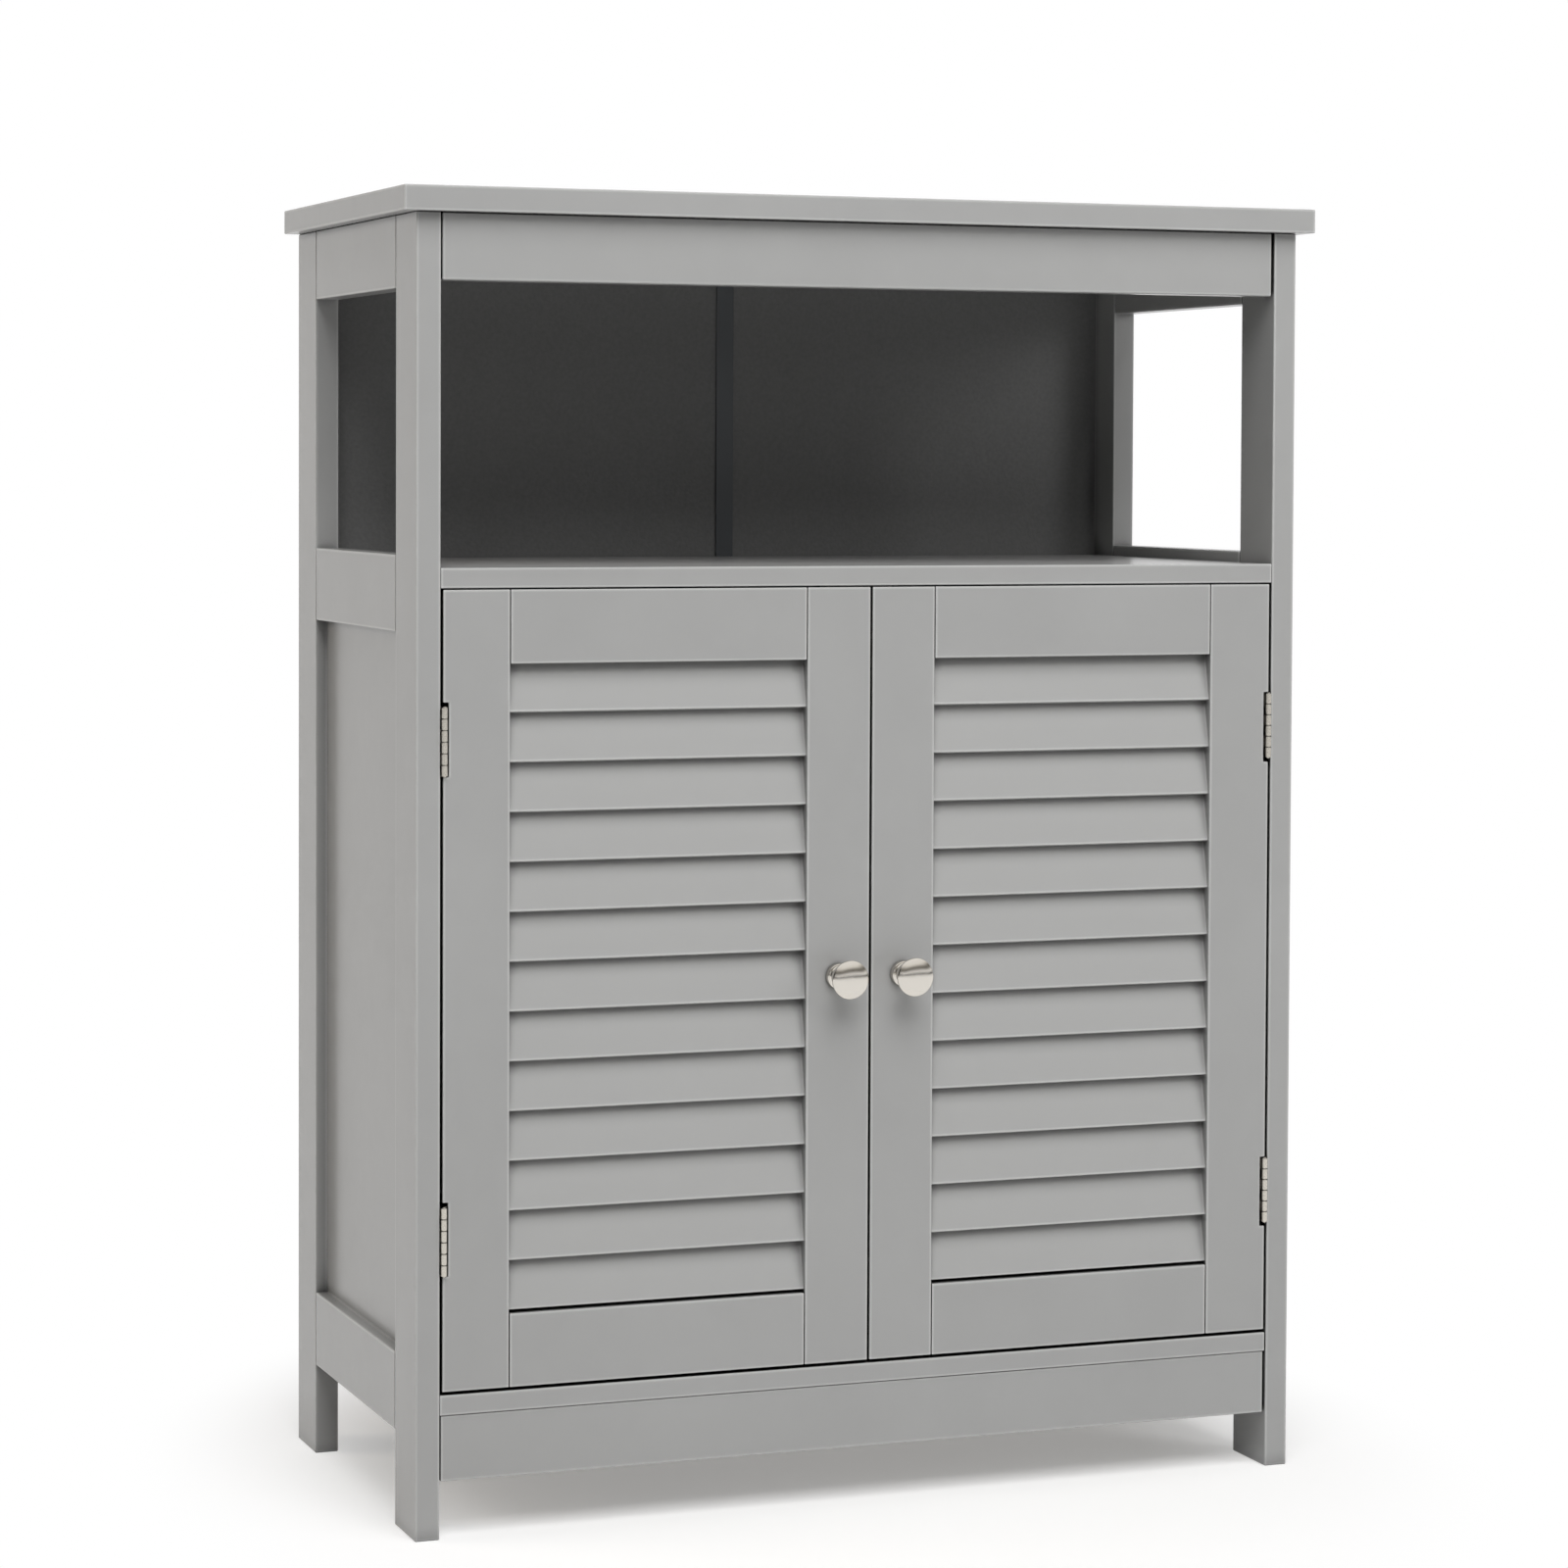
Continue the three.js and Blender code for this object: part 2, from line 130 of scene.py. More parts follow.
def cut_with(piece, cutter):
    select_only(piece)
    cut = piece.modifiers.new("cut", "BOOLEAN")
    cut.operation = "DIFFERENCE"
    cut.solver = "EXACT"
    cut.object = cutter
    bpy.ops.object.modifier_apply(modifier=cut.name)
    select_only(cutter)
    bpy.ops.object.delete()


def shade(piece, angle=EDGE_ANGLE):
    select_only(piece)
    if piece.data.has_custom_normals:
        bpy.ops.mesh.customdata_custom_splitnormals_clear()
    bpy.ops.object.shade_smooth_by_angle(angle=angle)
    weighted = piece.modifiers.new("flat faces stay flat", "WEIGHTED_NORMAL")
    weighted.keep_sharp = True
    bpy.ops.object.modifier_apply(modifier=weighted.name)


def mirrored_copy_of(piece, name, angle=EDGE_ANGLE):
    """A copy seen in a mirror across X. The mirror turns its faces inside out, so they are turned
    back."""
    copy = copy_of(piece, name)
    copy.scale = (-1, 1, 1)
    put_place_in_mesh(copy)
    bpy.ops.object.mode_set(mode="EDIT")
    bpy.ops.mesh.select_all(action="SELECT")
    bpy.ops.mesh.normals_make_consistent(inside=False)
    bpy.ops.object.mode_set(mode="OBJECT")
    shade(copy, angle)
    return copy


def block(name, low, high):
    """A cuboid between two corners, the start of most boards."""
    low, high = Vector(low), Vector(high)
    deselect_all()
    bpy.ops.mesh.primitive_cube_add(size=1, location=(low + high) / 2, scale=high - low)
    piece = bpy.context.active_object
    piece.name = name
    put_place_in_mesh(piece)
    return piece


def round_corners_of_plate(piece, axis, radius, segments, behind_y=None):
    """Rounds the edges of a cuboid that run along one axis, or only those that lie behind a Y."""
    select_only(piece)
    bpy.ops.object.mode_set(mode="EDIT")
    bpy.ops.mesh.select_mode(type="EDGE")
    bpy.ops.mesh.select_all(action="DESELECT")
    bpy.ops.object.mode_set(mode="OBJECT")
    for edge in piece.data.edges:
        first, second = (piece.data.vertices[index].co for index in edge.vertices)
        run = second - first
        is_behind = behind_y is None or min(first.y, second.y) > behind_y
        edge.select = is_behind and abs(run[axis]) > 0.9 * run.length
    bpy.ops.object.mode_set(mode="EDIT")
    bpy.ops.mesh.bevel(offset=radius, segments=segments, affect="EDGES")
    bpy.ops.object.mode_set(mode="OBJECT")


# %% [markdown]
# A finished piece rides on the CAD body that it belongs to, hides the CAD piece that it stands
# for, and gets its material.

# %% Helper that hands a finished piece over to the frame
def finish_piece(piece, body, slot, material, *nodes):
    piece.data.materials.clear()
    piece.data.materials.append(material)
    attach(piece, body)
    if nodes:
        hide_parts(*nodes)


# %% [markdown]
# ## Materials
#
# Colours are written as sRGB hex values, as a paint chart gives them. Shaders work in linear
# light, so one function turns a hex value to linear. Another adds a node with its settings and
# its links, so that each material below reads as a short list of nodes.

# %% Helpers for colours and nodes
def linear(hex_colour):
    values = []
    for start in (0, 2, 4):
        share = int(hex_colour[start : start + 2], 16) / 255
        values.append(share / 12.92 if share <= 0.04045 else ((share + 0.055) / 1.055) ** 2.4)
    return (*values, 1.0)


def add_node(tree, kind, settings=None, values=None, links=None):
    """Adds a node. Settings are its properties, values its plain sockets, and links name the
    output that feeds each linked socket."""
    node = tree.nodes.new(kind)
    for key, value in (settings or {}).items():
        setattr(node, key, value)
    for key, value in (values or {}).items():
        node.inputs[key].default_value = value
    for key, output in (links or {}).items():
        tree.links.new(output, node.inputs[key])
    return node


def new_material(name):
    material = bpy.data.materials.new(name)
    material.use_nodes = True
    tree = material.node_tree
    tree.nodes.clear()
    output = add_node(tree, "ShaderNodeOutputMaterial")
    place = add_node(tree, "ShaderNodeTexCoord").outputs["Object"]
    return material, tree, output, place


def cycles_per_metre(size_mm):
    """The texture scale that makes one cell of a noise about this many millimetres wide."""
    return 1 / (size_mm * MM)


def times(tree, colour, scale):
    """A colour, plain or from a node, times a scale from a node."""
    node = add_node(tree, "ShaderNodeVectorMath", {"operation": "SCALE"}, links={"Scale": scale})
    if isinstance(colour, tuple):
        node.inputs[0].default_value = colour[:3]
    else:
        tree.links.new(colour, node.inputs[0])
    return node.outputs["Vector"]


def painted_shade_in_gaps(tree, colour, reach_mm, tone_in_gap, shut_share, open_share):
    """The colour, darkened as painted shade where surfaces nearer than the reach hide the sky.
    It keeps its tone down to open_share of the sky, and has its darkest tone at shut_share."""
    sky = add_node(tree, "ShaderNodeAmbientOcclusion", {"samples": 8},
                   {"Color": (1, 1, 1, 1), "Distance": reach_mm * MM})
    tone = add_node(tree, "ShaderNodeMapRange",
                    values={"From Min": shut_share, "From Max": open_share,
                            "To Min": tone_in_gap, "To Max": 1.0},
                    links={"Value": sky.outputs["AO"]})
    return times(tree, colour, tone.outputs["Result"])


def painted_highlight_on_arrises(tree, colour, width_mm, gain):
    """A painted highlight: the colour, lighter where an edge's outside is nearer than the width."""
    solid = add_node(tree, "ShaderNodeAmbientOcclusion", {"samples": 8, "inside": True},
                     {"Color": (1, 1, 1, 1), "Distance": width_mm * MM})
    tone = add_node(tree, "ShaderNodeMapRange",
                    values={"From Min": 1.0, "From Max": 0.4, "To Min": 1.0, "To Max": gain},
                    links={"Value": solid.outputs["AO"]})
    return times(tree, colour, tone.outputs["Result"])


# %% [markdown]
# ### Satin lacquer on fibreboard
#
# The grey is a sprayed, catalysed lacquer. Spraying leaves three things to see: a faint cloudy
# change of tone where the coats lie thicker, a very low orange peel about a millimetre and a
# half across that breaks up reflections, and a sheen that is nearly a mirror at a low glance.
# Noise textures at those real sizes give the clouds and the peel, and a third one varies the sheen.
# In the narrow gaps between boards and slats, and under the lower edge of each slat, the colour
# is darkened as painted shade. On the arrises it is lightened as a painted highlight. Both are
# drawn wider than real, so that they show.

# %% Satin lacquer
CLOUDS_MM, SHEEN_MM, PEEL_MM = 90, 14, 1.6
# A painted highlight on the arrises: how wide it is and how much lighter it makes the colour.
PAINTED_HIGHLIGHT_MM = 1.8
PAINTED_HIGHLIGHT_GAIN = 1.75


def satin_lacquer(name, hex_light, hex_dark, roughness_low, roughness_high, painted_shade):
    material, tree, output, place = new_material(name)
    clouds = add_node(tree, "ShaderNodeTexNoise",
                      values={"Scale": cycles_per_metre(CLOUDS_MM), "Detail": 3.0,
                              "Roughness": 0.55},
                      links={"Vector": place})
    tone = add_node(tree, "ShaderNodeMix", {"data_type": "RGBA"},
                    {6: linear(hex_dark), 7: linear(hex_light)})
    spread = add_node(tree, "ShaderNodeMapRange",
                      values={"From Min": 0.3, "From Max": 0.7, "To Min": 0.0, "To Max": 1.0},
                      links={"Value": clouds.outputs["Fac"]})
    tree.links.new(spread.outputs["Result"], tone.inputs[0])
    flow = add_node(tree, "ShaderNodeTexNoise",
                    values={"Scale": cycles_per_metre(SHEEN_MM), "Detail": 2.0},
                    links={"Vector": place})
    gloss = add_node(tree, "ShaderNodeMapRange",
                     values={"From Min": 0.3, "From Max": 0.7,
                             "To Min": roughness_low, "To Max": roughness_high},
                     links={"Value": flow.outputs["Fac"]})
    peel = add_node(tree, "ShaderNodeTexNoise",
                    values={"Scale": cycles_per_metre(PEEL_MM), "Detail": 1.0},
                    links={"Vector": place})
    bump = add_node(tree, "ShaderNodeBump",
                    values={"Strength": 0.12, "Distance": 0.05 * MM},
                    links={"Height": peel.outputs["Fac"]})
    # A painted highlight on the arrises, then painted shade in the gaps and under the slats.
    colour = painted_highlight_on_arrises(tree, tone.outputs[2], PAINTED_HIGHLIGHT_MM, PAINTED_HIGHLIGHT_GAIN)
    shader = add_node(tree, "ShaderNodeBsdfPrincipled",
                      values={"IOR": 1.5, "Metallic": 0.0},
                      links={"Base Color": painted_shade_in_gaps(tree, colour, **painted_shade),
                             "Roughness": gloss.outputs["Result"],
                             "Normal": bump.outputs["Normal"]})
    tree.links.new(shader.outputs["BSDF"], output.inputs["Surface"])
    return material


# Painted shade of boards and louvres: how far it reaches, its darkest tone, and sky shares.
BOARD_SHADE = {"reach_mm": 20, "tone_in_gap": 0.03, "shut_share": 0.12, "open_share": 0.7}
LOUVRE_SHADE = {"reach_mm": 9, "tone_in_gap": 0.1, "shut_share": 0.08, "open_share": 0.88}
carcass_lacquer = satin_lacquer("satin_lacquer_on_boards", "a5a5a4", "a1a1a0", 0.22, 0.27,
                                BOARD_SHADE)
# The louvres' copy is a little lighter than the boards', as painted light on slats tilted up.
louvre_lacquer = satin_lacquer("satin_lacquer_on_louvres", "a9a9a8", "a8a8a7", 0.3, 0.31,
                               LOUVRE_SHADE)
print("lacquers:", carcass_lacquer.name, louvre_lacquer.name)

# %% [markdown]
# ### Painted hardboard
#
# The thin back panels are hardboard. The face towards the compartment has a thin matt coat of
# the same grey, drawn darker as painted shade for the dim compartment, and the board's grain
# shows through it, drawn at about two and a half millimetres, which is coarser than real. The
# back is left raw: brown, with the low weave that the press screen leaves. The real one repeats
# every two millimetres, which is too fine to draw, so it repeats every twelve and a half here.

# %% Hardboard, painted on its face and raw on its back
PANEL_FACE_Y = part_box("left_back_panel")[0].y
PANEL_BACK_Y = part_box("left_back_panel")[1].y
RAW_BROWNS = ("86603e", "96704a")
# The face's grey is drawn darker than the boards' as painted shade for the dim compartment.
FACE_GREYS_AND_SHADE = ("646464", "7a7a79")
FIBRES_MM = 2.4
WEAVE_MM = 12.57
WAVE_RADIANS_PER_UNIT = 20
WEAVE_SCALE = cycles_per_metre(WEAVE_MM) * 2 * math.pi / WAVE_RADIANS_PER_UNIT


def painted_hardboard():
    material, tree, output, place = new_material("hardboard_painted_on_its_face")
    parts = add_node(tree, "ShaderNodeSeparateXYZ", links={"Vector": place})
    is_back = add_node(tree, "ShaderNodeMath", {"operation": "GREATER_THAN"},
                       {1: (PANEL_FACE_Y + PANEL_BACK_Y) / 2}, {0: parts.outputs["Y"]})
    fibres = add_node(tree, "ShaderNodeTexNoise",
                      values={"Scale": cycles_per_metre(FIBRES_MM), "Detail": 4.0,
                              "Roughness": 0.6},
                      links={"Vector": place})
    raw = add_node(tree, "ShaderNodeMix", {"data_type": "RGBA"},
                   {6: linear(RAW_BROWNS[0]), 7: linear(RAW_BROWNS[1])},
                   {0: fibres.outputs["Fac"]})
    # The painted face, its grey darkened as painted shade.
    paint = add_node(tree, "ShaderNodeMix", {"data_type": "RGBA"},
                     {6: linear(FACE_GREYS_AND_SHADE[0]), 7: linear(FACE_GREYS_AND_SHADE[1])},
                     {0: fibres.outputs["Fac"]})
    colour = add_node(tree, "ShaderNodeMix", {"data_type": "RGBA"},
                      links={0: is_back.outputs[0], 6: paint.outputs[2], 7: raw.outputs[2]})
    screen = add_node(tree, "ShaderNodeTexWave", {"wave_type": "BANDS", "bands_direction": "X"},
                      {"Scale": WEAVE_SCALE}, {"Vector": place})
    screen_up = add_node(tree, "ShaderNodeTexWave", {"wave_type": "BANDS", "bands_direction": "Z"},
                         {"Scale": WEAVE_SCALE}, {"Vector": place})
    weave = add_node(tree, "ShaderNodeMath", {"operation": "MULTIPLY"},
                     links={0: screen.outputs["Fac"], 1: screen_up.outputs["Fac"]})
    relief = add_node(tree, "ShaderNodeMix", {"data_type": "FLOAT"},
                      links={0: is_back.outputs[0], 2: fibres.outputs["Fac"],
                             3: weave.outputs[0]})
    bump = add_node(tree, "ShaderNodeBump", values={"Strength": 0.7, "Distance": 0.3 * MM},
                    links={"Height": relief.outputs[0]})
    shader = add_node(tree, "ShaderNodeBsdfPrincipled",
                      values={"Roughness": 0.55, "IOR": 1.45},
                      links={"Base Color": colour.outputs[2], "Normal": bump.outputs["Normal"]})
    tree.links.new(shader.outputs["BSDF"], output.inputs["Surface"])
    return material


hardboard = painted_hardboard()
print("hardboard faces at y:", round(PANEL_FACE_Y / MM, 1), round(PANEL_BACK_Y / MM, 1), "mm")

# %% [markdown]
# ### Extruded and moulded plastic
#
# The strip that joins the back panels is extruded, so its faint lines run along its length. The
# catch is moulded, and the spark finish of its mould leaves a fine even grain.

# %% Plastics
def extruded_plastic(name, hex_colour):
    material, tree, output, place = new_material(name)
    squeeze = add_node(tree, "ShaderNodeMapping", values={"Scale": (1.0, 1.0, 0.02)},
                       links={"Vector": place})
    lines = add_node(tree, "ShaderNodeTexNoise",
                     values={"Scale": cycles_per_metre(0.8), "Detail": 2.0},
                     links={"Vector": squeeze.outputs["Vector"]})
    bump = add_node(tree, "ShaderNodeBump", values={"Strength": 0.2, "Distance": 0.05 * MM},
                    links={"Height": lines.outputs["Fac"]})
    shader = add_node(tree, "ShaderNodeBsdfPrincipled",
                      values={"Base Color": linear(hex_colour), "Roughness": 0.48, "IOR": 1.53},
                      links={"Normal": bump.outputs["Normal"]})
    tree.links.new(shader.outputs["BSDF"], output.inputs["Surface"])
    return material


def moulded_plastic(name, hex_colour):
    material, tree, output, place = new_material(name)
    grain = add_node(tree, "ShaderNodeTexNoise",
                     values={"Scale": cycles_per_metre(0.6), "Detail": 2.0},
                     links={"Vector": place})
    bump = add_node(tree, "ShaderNodeBump", values={"Strength": 0.25, "Distance": 0.04 * MM},
                    links={"Height": grain.outputs["Fac"]})
    shader = add_node(tree, "ShaderNodeBsdfPrincipled",
                      values={"Base Color": linear(hex_colour), "Roughness": 0.45, "IOR": 1.53},
                      links={"Normal": bump.outputs["Normal"]})
    tree.links.new(shader.outputs["BSDF"], output.inputs["Surface"])
    return material


strip_plastic = extruded_plastic("extruded_grey_vinyl", "4b4e51")
catch_plastic = moulded_plastic("moulded_white_nylon", "e2e0da")
print("plastics:", strip_plastic.name, catch_plastic.name)

# %% [markdown]
# ### Satin nickel
#
# Knobs and hinges are brass and steel with a brushed nickel plate. Nickel is a slightly warm
# grey metal. The brush leaves fine scratches that blur its reflections, so the roughness and the
# bump both follow a fine noise, drawn a little coarser than real so that it shows. Hollows and
# the joints between knuckles are darkened as painted shade.

# %% Satin nickel
def satin_nickel(name, hex_colour, roughness_low, roughness_high, painted_shade):
    material, tree, output, place = new_material(name)
    scratches = add_node(tree, "ShaderNodeTexNoise",
                         values={"Scale": cycles_per_metre(0.5), "Detail": 4.0, "Roughness": 0.7},
                         links={"Vector": place})
    gloss = add_node(tree, "ShaderNodeMapRange",
                     values={"From Min": 0.3, "From Max": 0.7,
                             "To Min": roughness_low, "To Max": roughness_high},
                     links={"Value": scratches.outputs["Fac"]})
    bump = add_node(tree, "ShaderNodeBump", values={"Strength": 0.05, "Distance": 0.02 * MM},
                    links={"Height": scratches.outputs["Fac"]})
    # The base colour carries painted shade in the hollows of the metal.
    shader = add_node(tree, "ShaderNodeBsdfPrincipled",
                      values={"Metallic": 1.0},
                      links={"Base Color": painted_shade_in_gaps(tree, linear(hex_colour), **painted_shade),
                             "Roughness": gloss.outputs["Result"],
                             "Normal": bump.outputs["Normal"]})
    tree.links.new(shader.outputs["BSDF"], output.inputs["Surface"])
    return material


# Painted shade in hollows, between knuckles and in screw slots: reach, tone and sky shares.
KNOB_SHADE = {"reach_mm": 6, "tone_in_gap": 0.06, "shut_share": 0.15, "open_share": 0.7}
HINGE_SHADE = {"reach_mm": 2, "tone_in_gap": 0.03, "shut_share": 0.08, "open_share": 0.8}
SCREW_SHADE = {"reach_mm": 2, "tone_in_gap": 0.2, "shut_share": 0.08, "open_share": 0.7}
knob_nickel = satin_nickel("satin_nickel_plate_on_brass", "dbd6ce", 0.17, 0.21, KNOB_SHADE)
hinge_nickel = satin_nickel("satin_nickel_plate_on_steel", "d3cec4", 0.22, 0.34, HINGE_SHADE)
zinc_steel = satin_nickel("zinc_plated_steel", "b9bbbd", 0.3, 0.45, SCREW_SHADE)
print("materials made:", len(bpy.data.materials))

# %% [markdown]
# ## The painted boards
#
# Every board of the carcass is a cuboid whose arrises were eased with sandpaper before it was
# sprayed, which is why each one shows a thin bright line along its edges in the photograph. The
# cuboid takes its two corners from the CAD piece, and a small rounded bevel does the sanding. The
# apron under the top was rounded more than the rest, as its lower corners show. The side rails
# and the aprons are butted against the posts, and their joints stay a little open and look dark.
# A tenon behind each face fills the joint, so that no light comes through it.

# %% Boards of the carcass
BOARD_ARRIS = 0.7 * MM
APRON_ARRIS = 1.1 * MM
JOINT_OPENING = 0.8 * MM
TENON_INSET = 4 * MM
BOARDS = [
    "top_board", "middle_shelf", "bottom_board", "inner_shelf", "top_apron", "bottom_apron",
    "front_left_post", "front_right_post", "rear_left_post", "rear_right_post",
    "left_top_side_rail", "left_middle_side_rail", "left_bottom_side_rail",
    "right_top_side_rail", "right_middle_side_rail", "right_bottom_side_rail",
]

for node in BOARDS:
    low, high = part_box(node)
    tenons = []
    if node.endswith("side_rail") or node.endswith("apron"):
        run = Y_AXIS if node.endswith("side_rail") else X_AXIS
        inset = Vector((TENON_INSET, TENON_INSET, TENON_INSET))
        inset[run] = 0
        tenons.append(block("tenon", low + inset, high - inset))
        low[run] += JOINT_OPENING
        high[run] -= JOINT_OPENING
    board = block(node + "_lacquered", low, high)
    round_edges(board, APRON_ARRIS if node == "top_apron" else BOARD_ARRIS)
    board = join_pieces(node + "_lacquered", [board] + tenons)
    shade(board)
    finish_piece(board, "carcass", "painted_board", carcass_lacquer, node)
print("boards:", len(BOARDS))

# %% [markdown]
# ## Side panels, back panels and the joining strip
#
# The thin panels sit in grooves, so only their flat middles show and the CAD shapes are right as
# they are. They keep their meshes and only get their finishes.

# %% Finishes of the thin panels
def clothe_cad_piece(node, material):
    mesh = frame["nodes"][node].data
    mesh.materials.clear()
    mesh.materials.append(material)


for node in ("left_side_panel", "right_side_panel"):
    clothe_cad_piece(node, carcass_lacquer)
for node in ("left_back_panel", "right_back_panel"):
    clothe_cad_piece(node, hardboard)
clothe_cad_piece("back_joint_strip", strip_plastic)

# %% [markdown]
# ## Louvres
#
# A louvre is a flat slat, five millimetres thick, turned so that its lower edge comes forward and
# laps over the next one. How far it tilts follows from how the slats are stacked: one pitch down,
# the next slat has to start a slat's thickness and a little air further back. The slat starts as
# a cuboid in its flat position, its edges are eased, and then the whole slat is tilted. One slat
# is made, and the other twenty five are copies.

# %% The first louvre
LOUVRES = 13
SLAT_THICKNESS = 5 * MM
SLAT_AIR = 1.1 * MM
SLAT_LAP = 6.4 * MM
SLAT_ARRIS = 0.6 * MM

low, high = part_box("right_louvre_01")
middle = (low + high) / 2
pitch = low.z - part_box("right_louvre_02")[0].z
tilt = math.asin((SLAT_THICKNESS + SLAT_AIR) / pitch)
half = Vector((high.x - low.x, SLAT_THICKNESS, pitch / math.cos(tilt) + SLAT_LAP)) / 2
slat = block("right_louvre_01_lacquered", -half, half)
round_edges(slat, SLAT_ARRIS)
slat.rotation_euler.x = -tilt
slat.location = middle
put_place_in_mesh(slat)
shade(slat)
print("louvre pitch:", round(pitch / MM, 2), "mm, tilt:", round(math.degrees(tilt), 2), "degrees")

# %% Copies of the louvre
for side in ("right", "left"):
    for number in range(1, LOUVRES + 1):
        node = f"{side}_louvre_{number:02d}"
        if node == "right_louvre_01":
            louvre = slat
        else:
            node_low, node_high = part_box(node)
            louvre = copy_of(slat, node + "_lacquered", (node_low + node_high) / 2 - middle)
        finish_piece(louvre, side + "_door", "painted_board", louvre_lacquer, node)
print("louvres:", 2 * LOUVRES)

# %% [markdown]
# ## Door frames
#
# Each door has two stiles and two rails, glued and then sprayed. The shoulders of the rails don't
# quite close, so a fine dark line shows at each joint. The four bars are made one by one and
# rounded, a tenon fills each joint behind its face, and then all of them are joined. The outer
# stile has two notches for the hinges, which a cutter block takes out before the edges are
# rounded, so that the notches get the same soft edge. The notches are taller than the hinges, and
# their spare room lies above the left hinges and below the right ones.

# %% The two door frames
STILE_WIDTH = 41 * MM
RAIL_HEIGHT = 44 * MM
DOOR_ARRIS = 0.6 * MM
SHOULDER_GAP = 0.5 * MM
NOTCH_HEIGHT = 44 * MM
NOTCH_DEPTH = 3.3 * MM
CUT_PAST = 2 * MM
NOTCH_SHIFT = {"right": -1.1 * MM, "left": 1.1 * MM}


def bars_of_frame(low, high):
    """The corners of the stiles, the rails and the tenons between them."""
    inner_x, outer_x = low.x + STILE_WIDTH, high.x - STILE_WIDTH
    bars = {
        "inner stile": (low, (inner_x, high.y, high.z)),
        "outer stile": ((outer_x, low.y, low.z), high),
        "top rail": ((inner_x + SHOULDER_GAP, low.y, high.z - RAIL_HEIGHT),
                     (outer_x - SHOULDER_GAP, high.y, high.z)),
        "bottom rail": ((inner_x + SHOULDER_GAP, low.y, low.z),
                        (outer_x - SHOULDER_GAP, high.y, low.z + RAIL_HEIGHT)),
    }
    for tenon_x in (inner_x, outer_x):
        for tenon_z in (low.z, high.z - RAIL_HEIGHT):
            bars[f"tenon {tenon_x:.3f} {tenon_z:.3f}"] = (
                (tenon_x - TENON_INSET, low.y + TENON_INSET, tenon_z + TENON_INSET),
                (tenon_x + TENON_INSET, high.y - TENON_INSET, tenon_z + RAIL_HEIGHT - TENON_INSET))
    return bars


def door_frame(name, notch_shift):
    """A right-hand door frame, its notches moved up by some metres from the hinges' middles."""
    low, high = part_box("right_door_frame")
    made = []
    for bar_name, (bar_low, bar_high) in bars_of_frame(low, high).items():
        bar = block(bar_name, bar_low, bar_high)
        if bar_name == "outer stile":
            for level in ("upper", "lower"):
                leaf_low, leaf_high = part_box(f"right_{level}_hinge_moving_leaf")
                notch_z = (leaf_low.z + leaf_high.z) / 2 + notch_shift
                notch_low = (high.x - NOTCH_DEPTH, low.y - CUT_PAST, notch_z - NOTCH_HEIGHT / 2)
                notch_high = (high.x + CUT_PAST, high.y + CUT_PAST, notch_z + NOTCH_HEIGHT / 2)
                cut_with(bar, block("notch cutter", notch_low, notch_high))
        round_edges(bar, DOOR_ARRIS)
        made.append(bar)
    whole = join_pieces(name, made)
    shade(whole)
    return whole


right_frame = door_frame("right_door_frame_lacquered", NOTCH_SHIFT["right"])
left_start = door_frame("left door frame before its mirror", NOTCH_SHIFT["left"])
left_frame = mirrored_copy_of(left_start, "left_door_frame_lacquered")
select_only(left_start)
bpy.ops.object.delete()
for side, whole in (("right", right_frame), ("left", left_frame)):
    finish_piece(whole, side + "_door", "painted_board", carcass_lacquer, side + "_door_frame")
print("door frame faces:", len(right_frame.data.polygons))

# %% [markdown]
# ## Knobs
#
# A knob is turned on a lathe: a round base, a waist, a head that flares out under a thin rim, and
# a shallow dome. Blender's way to turn a shape is to start with one circle and to extrude it
# again and again along the axis, each time scaled to the next radius of the profile.

# %% The profile of a knob
KNOB_SIDES = 96
knob_profile_mm = [
    (7.6, 0.0), (8.0, 0.25), (8.1, 0.7), (8.1, 3.6), (7.95, 4.15), (7.6, 4.45), (7.0, 4.5),
    (6.45, 4.8), (6.05, 5.5), (5.75, 6.7), (5.6, 8.2), (5.6, 10.2), (5.75, 12.0), (6.15, 13.8),
    (6.85, 15.6), (7.8, 17.1), (8.95, 18.5), (10.2, 19.6), (11.2, 20.2), (11.65, 20.45),
    (11.8, 20.8), (11.8, 21.5), (11.65, 21.8), (11.15, 22.15), (10.4, 22.6), (9.25, 23.25),
    (7.8, 23.9), (6.1, 24.4), (4.25, 24.75), (2.3, 24.95), (0.8, 25.0),
]


def turned(name, profile_mm, centre, sides):
    """Turns a profile of (radius, distance) about an axis that runs forward from a point."""
    deselect_all()
    radius, distance = profile_mm[0]
    bpy.ops.mesh.primitive_circle_add(vertices=sides, radius=radius * MM, fill_type="NGON",
                                      location=Vector(centre) - Vector((0, distance * MM, 0)),
                                      rotation=(math.radians(90), 0, 0))
    piece = bpy.context.active_object
    piece.name = name
    put_place_in_mesh(piece)
    bpy.ops.object.mode_set(mode="EDIT")
    bpy.ops.mesh.select_all(action="SELECT")
    for next_radius, next_distance in profile_mm[1:]:
        bpy.ops.mesh.extrude_region_move(
            TRANSFORM_OT_translate={"value": (0, (distance - next_distance) * MM, 0)})
        bpy.ops.transform.resize(
            value=(next_radius / radius, 1, next_radius / radius),
            center_override=Vector(centre) - Vector((0, next_distance * MM, 0)))
        radius, distance = next_radius, next_distance
    bpy.ops.mesh.select_all(action="SELECT")
    bpy.ops.mesh.normals_make_consistent(inside=False)
    bpy.ops.object.mode_set(mode="OBJECT")
    return piece


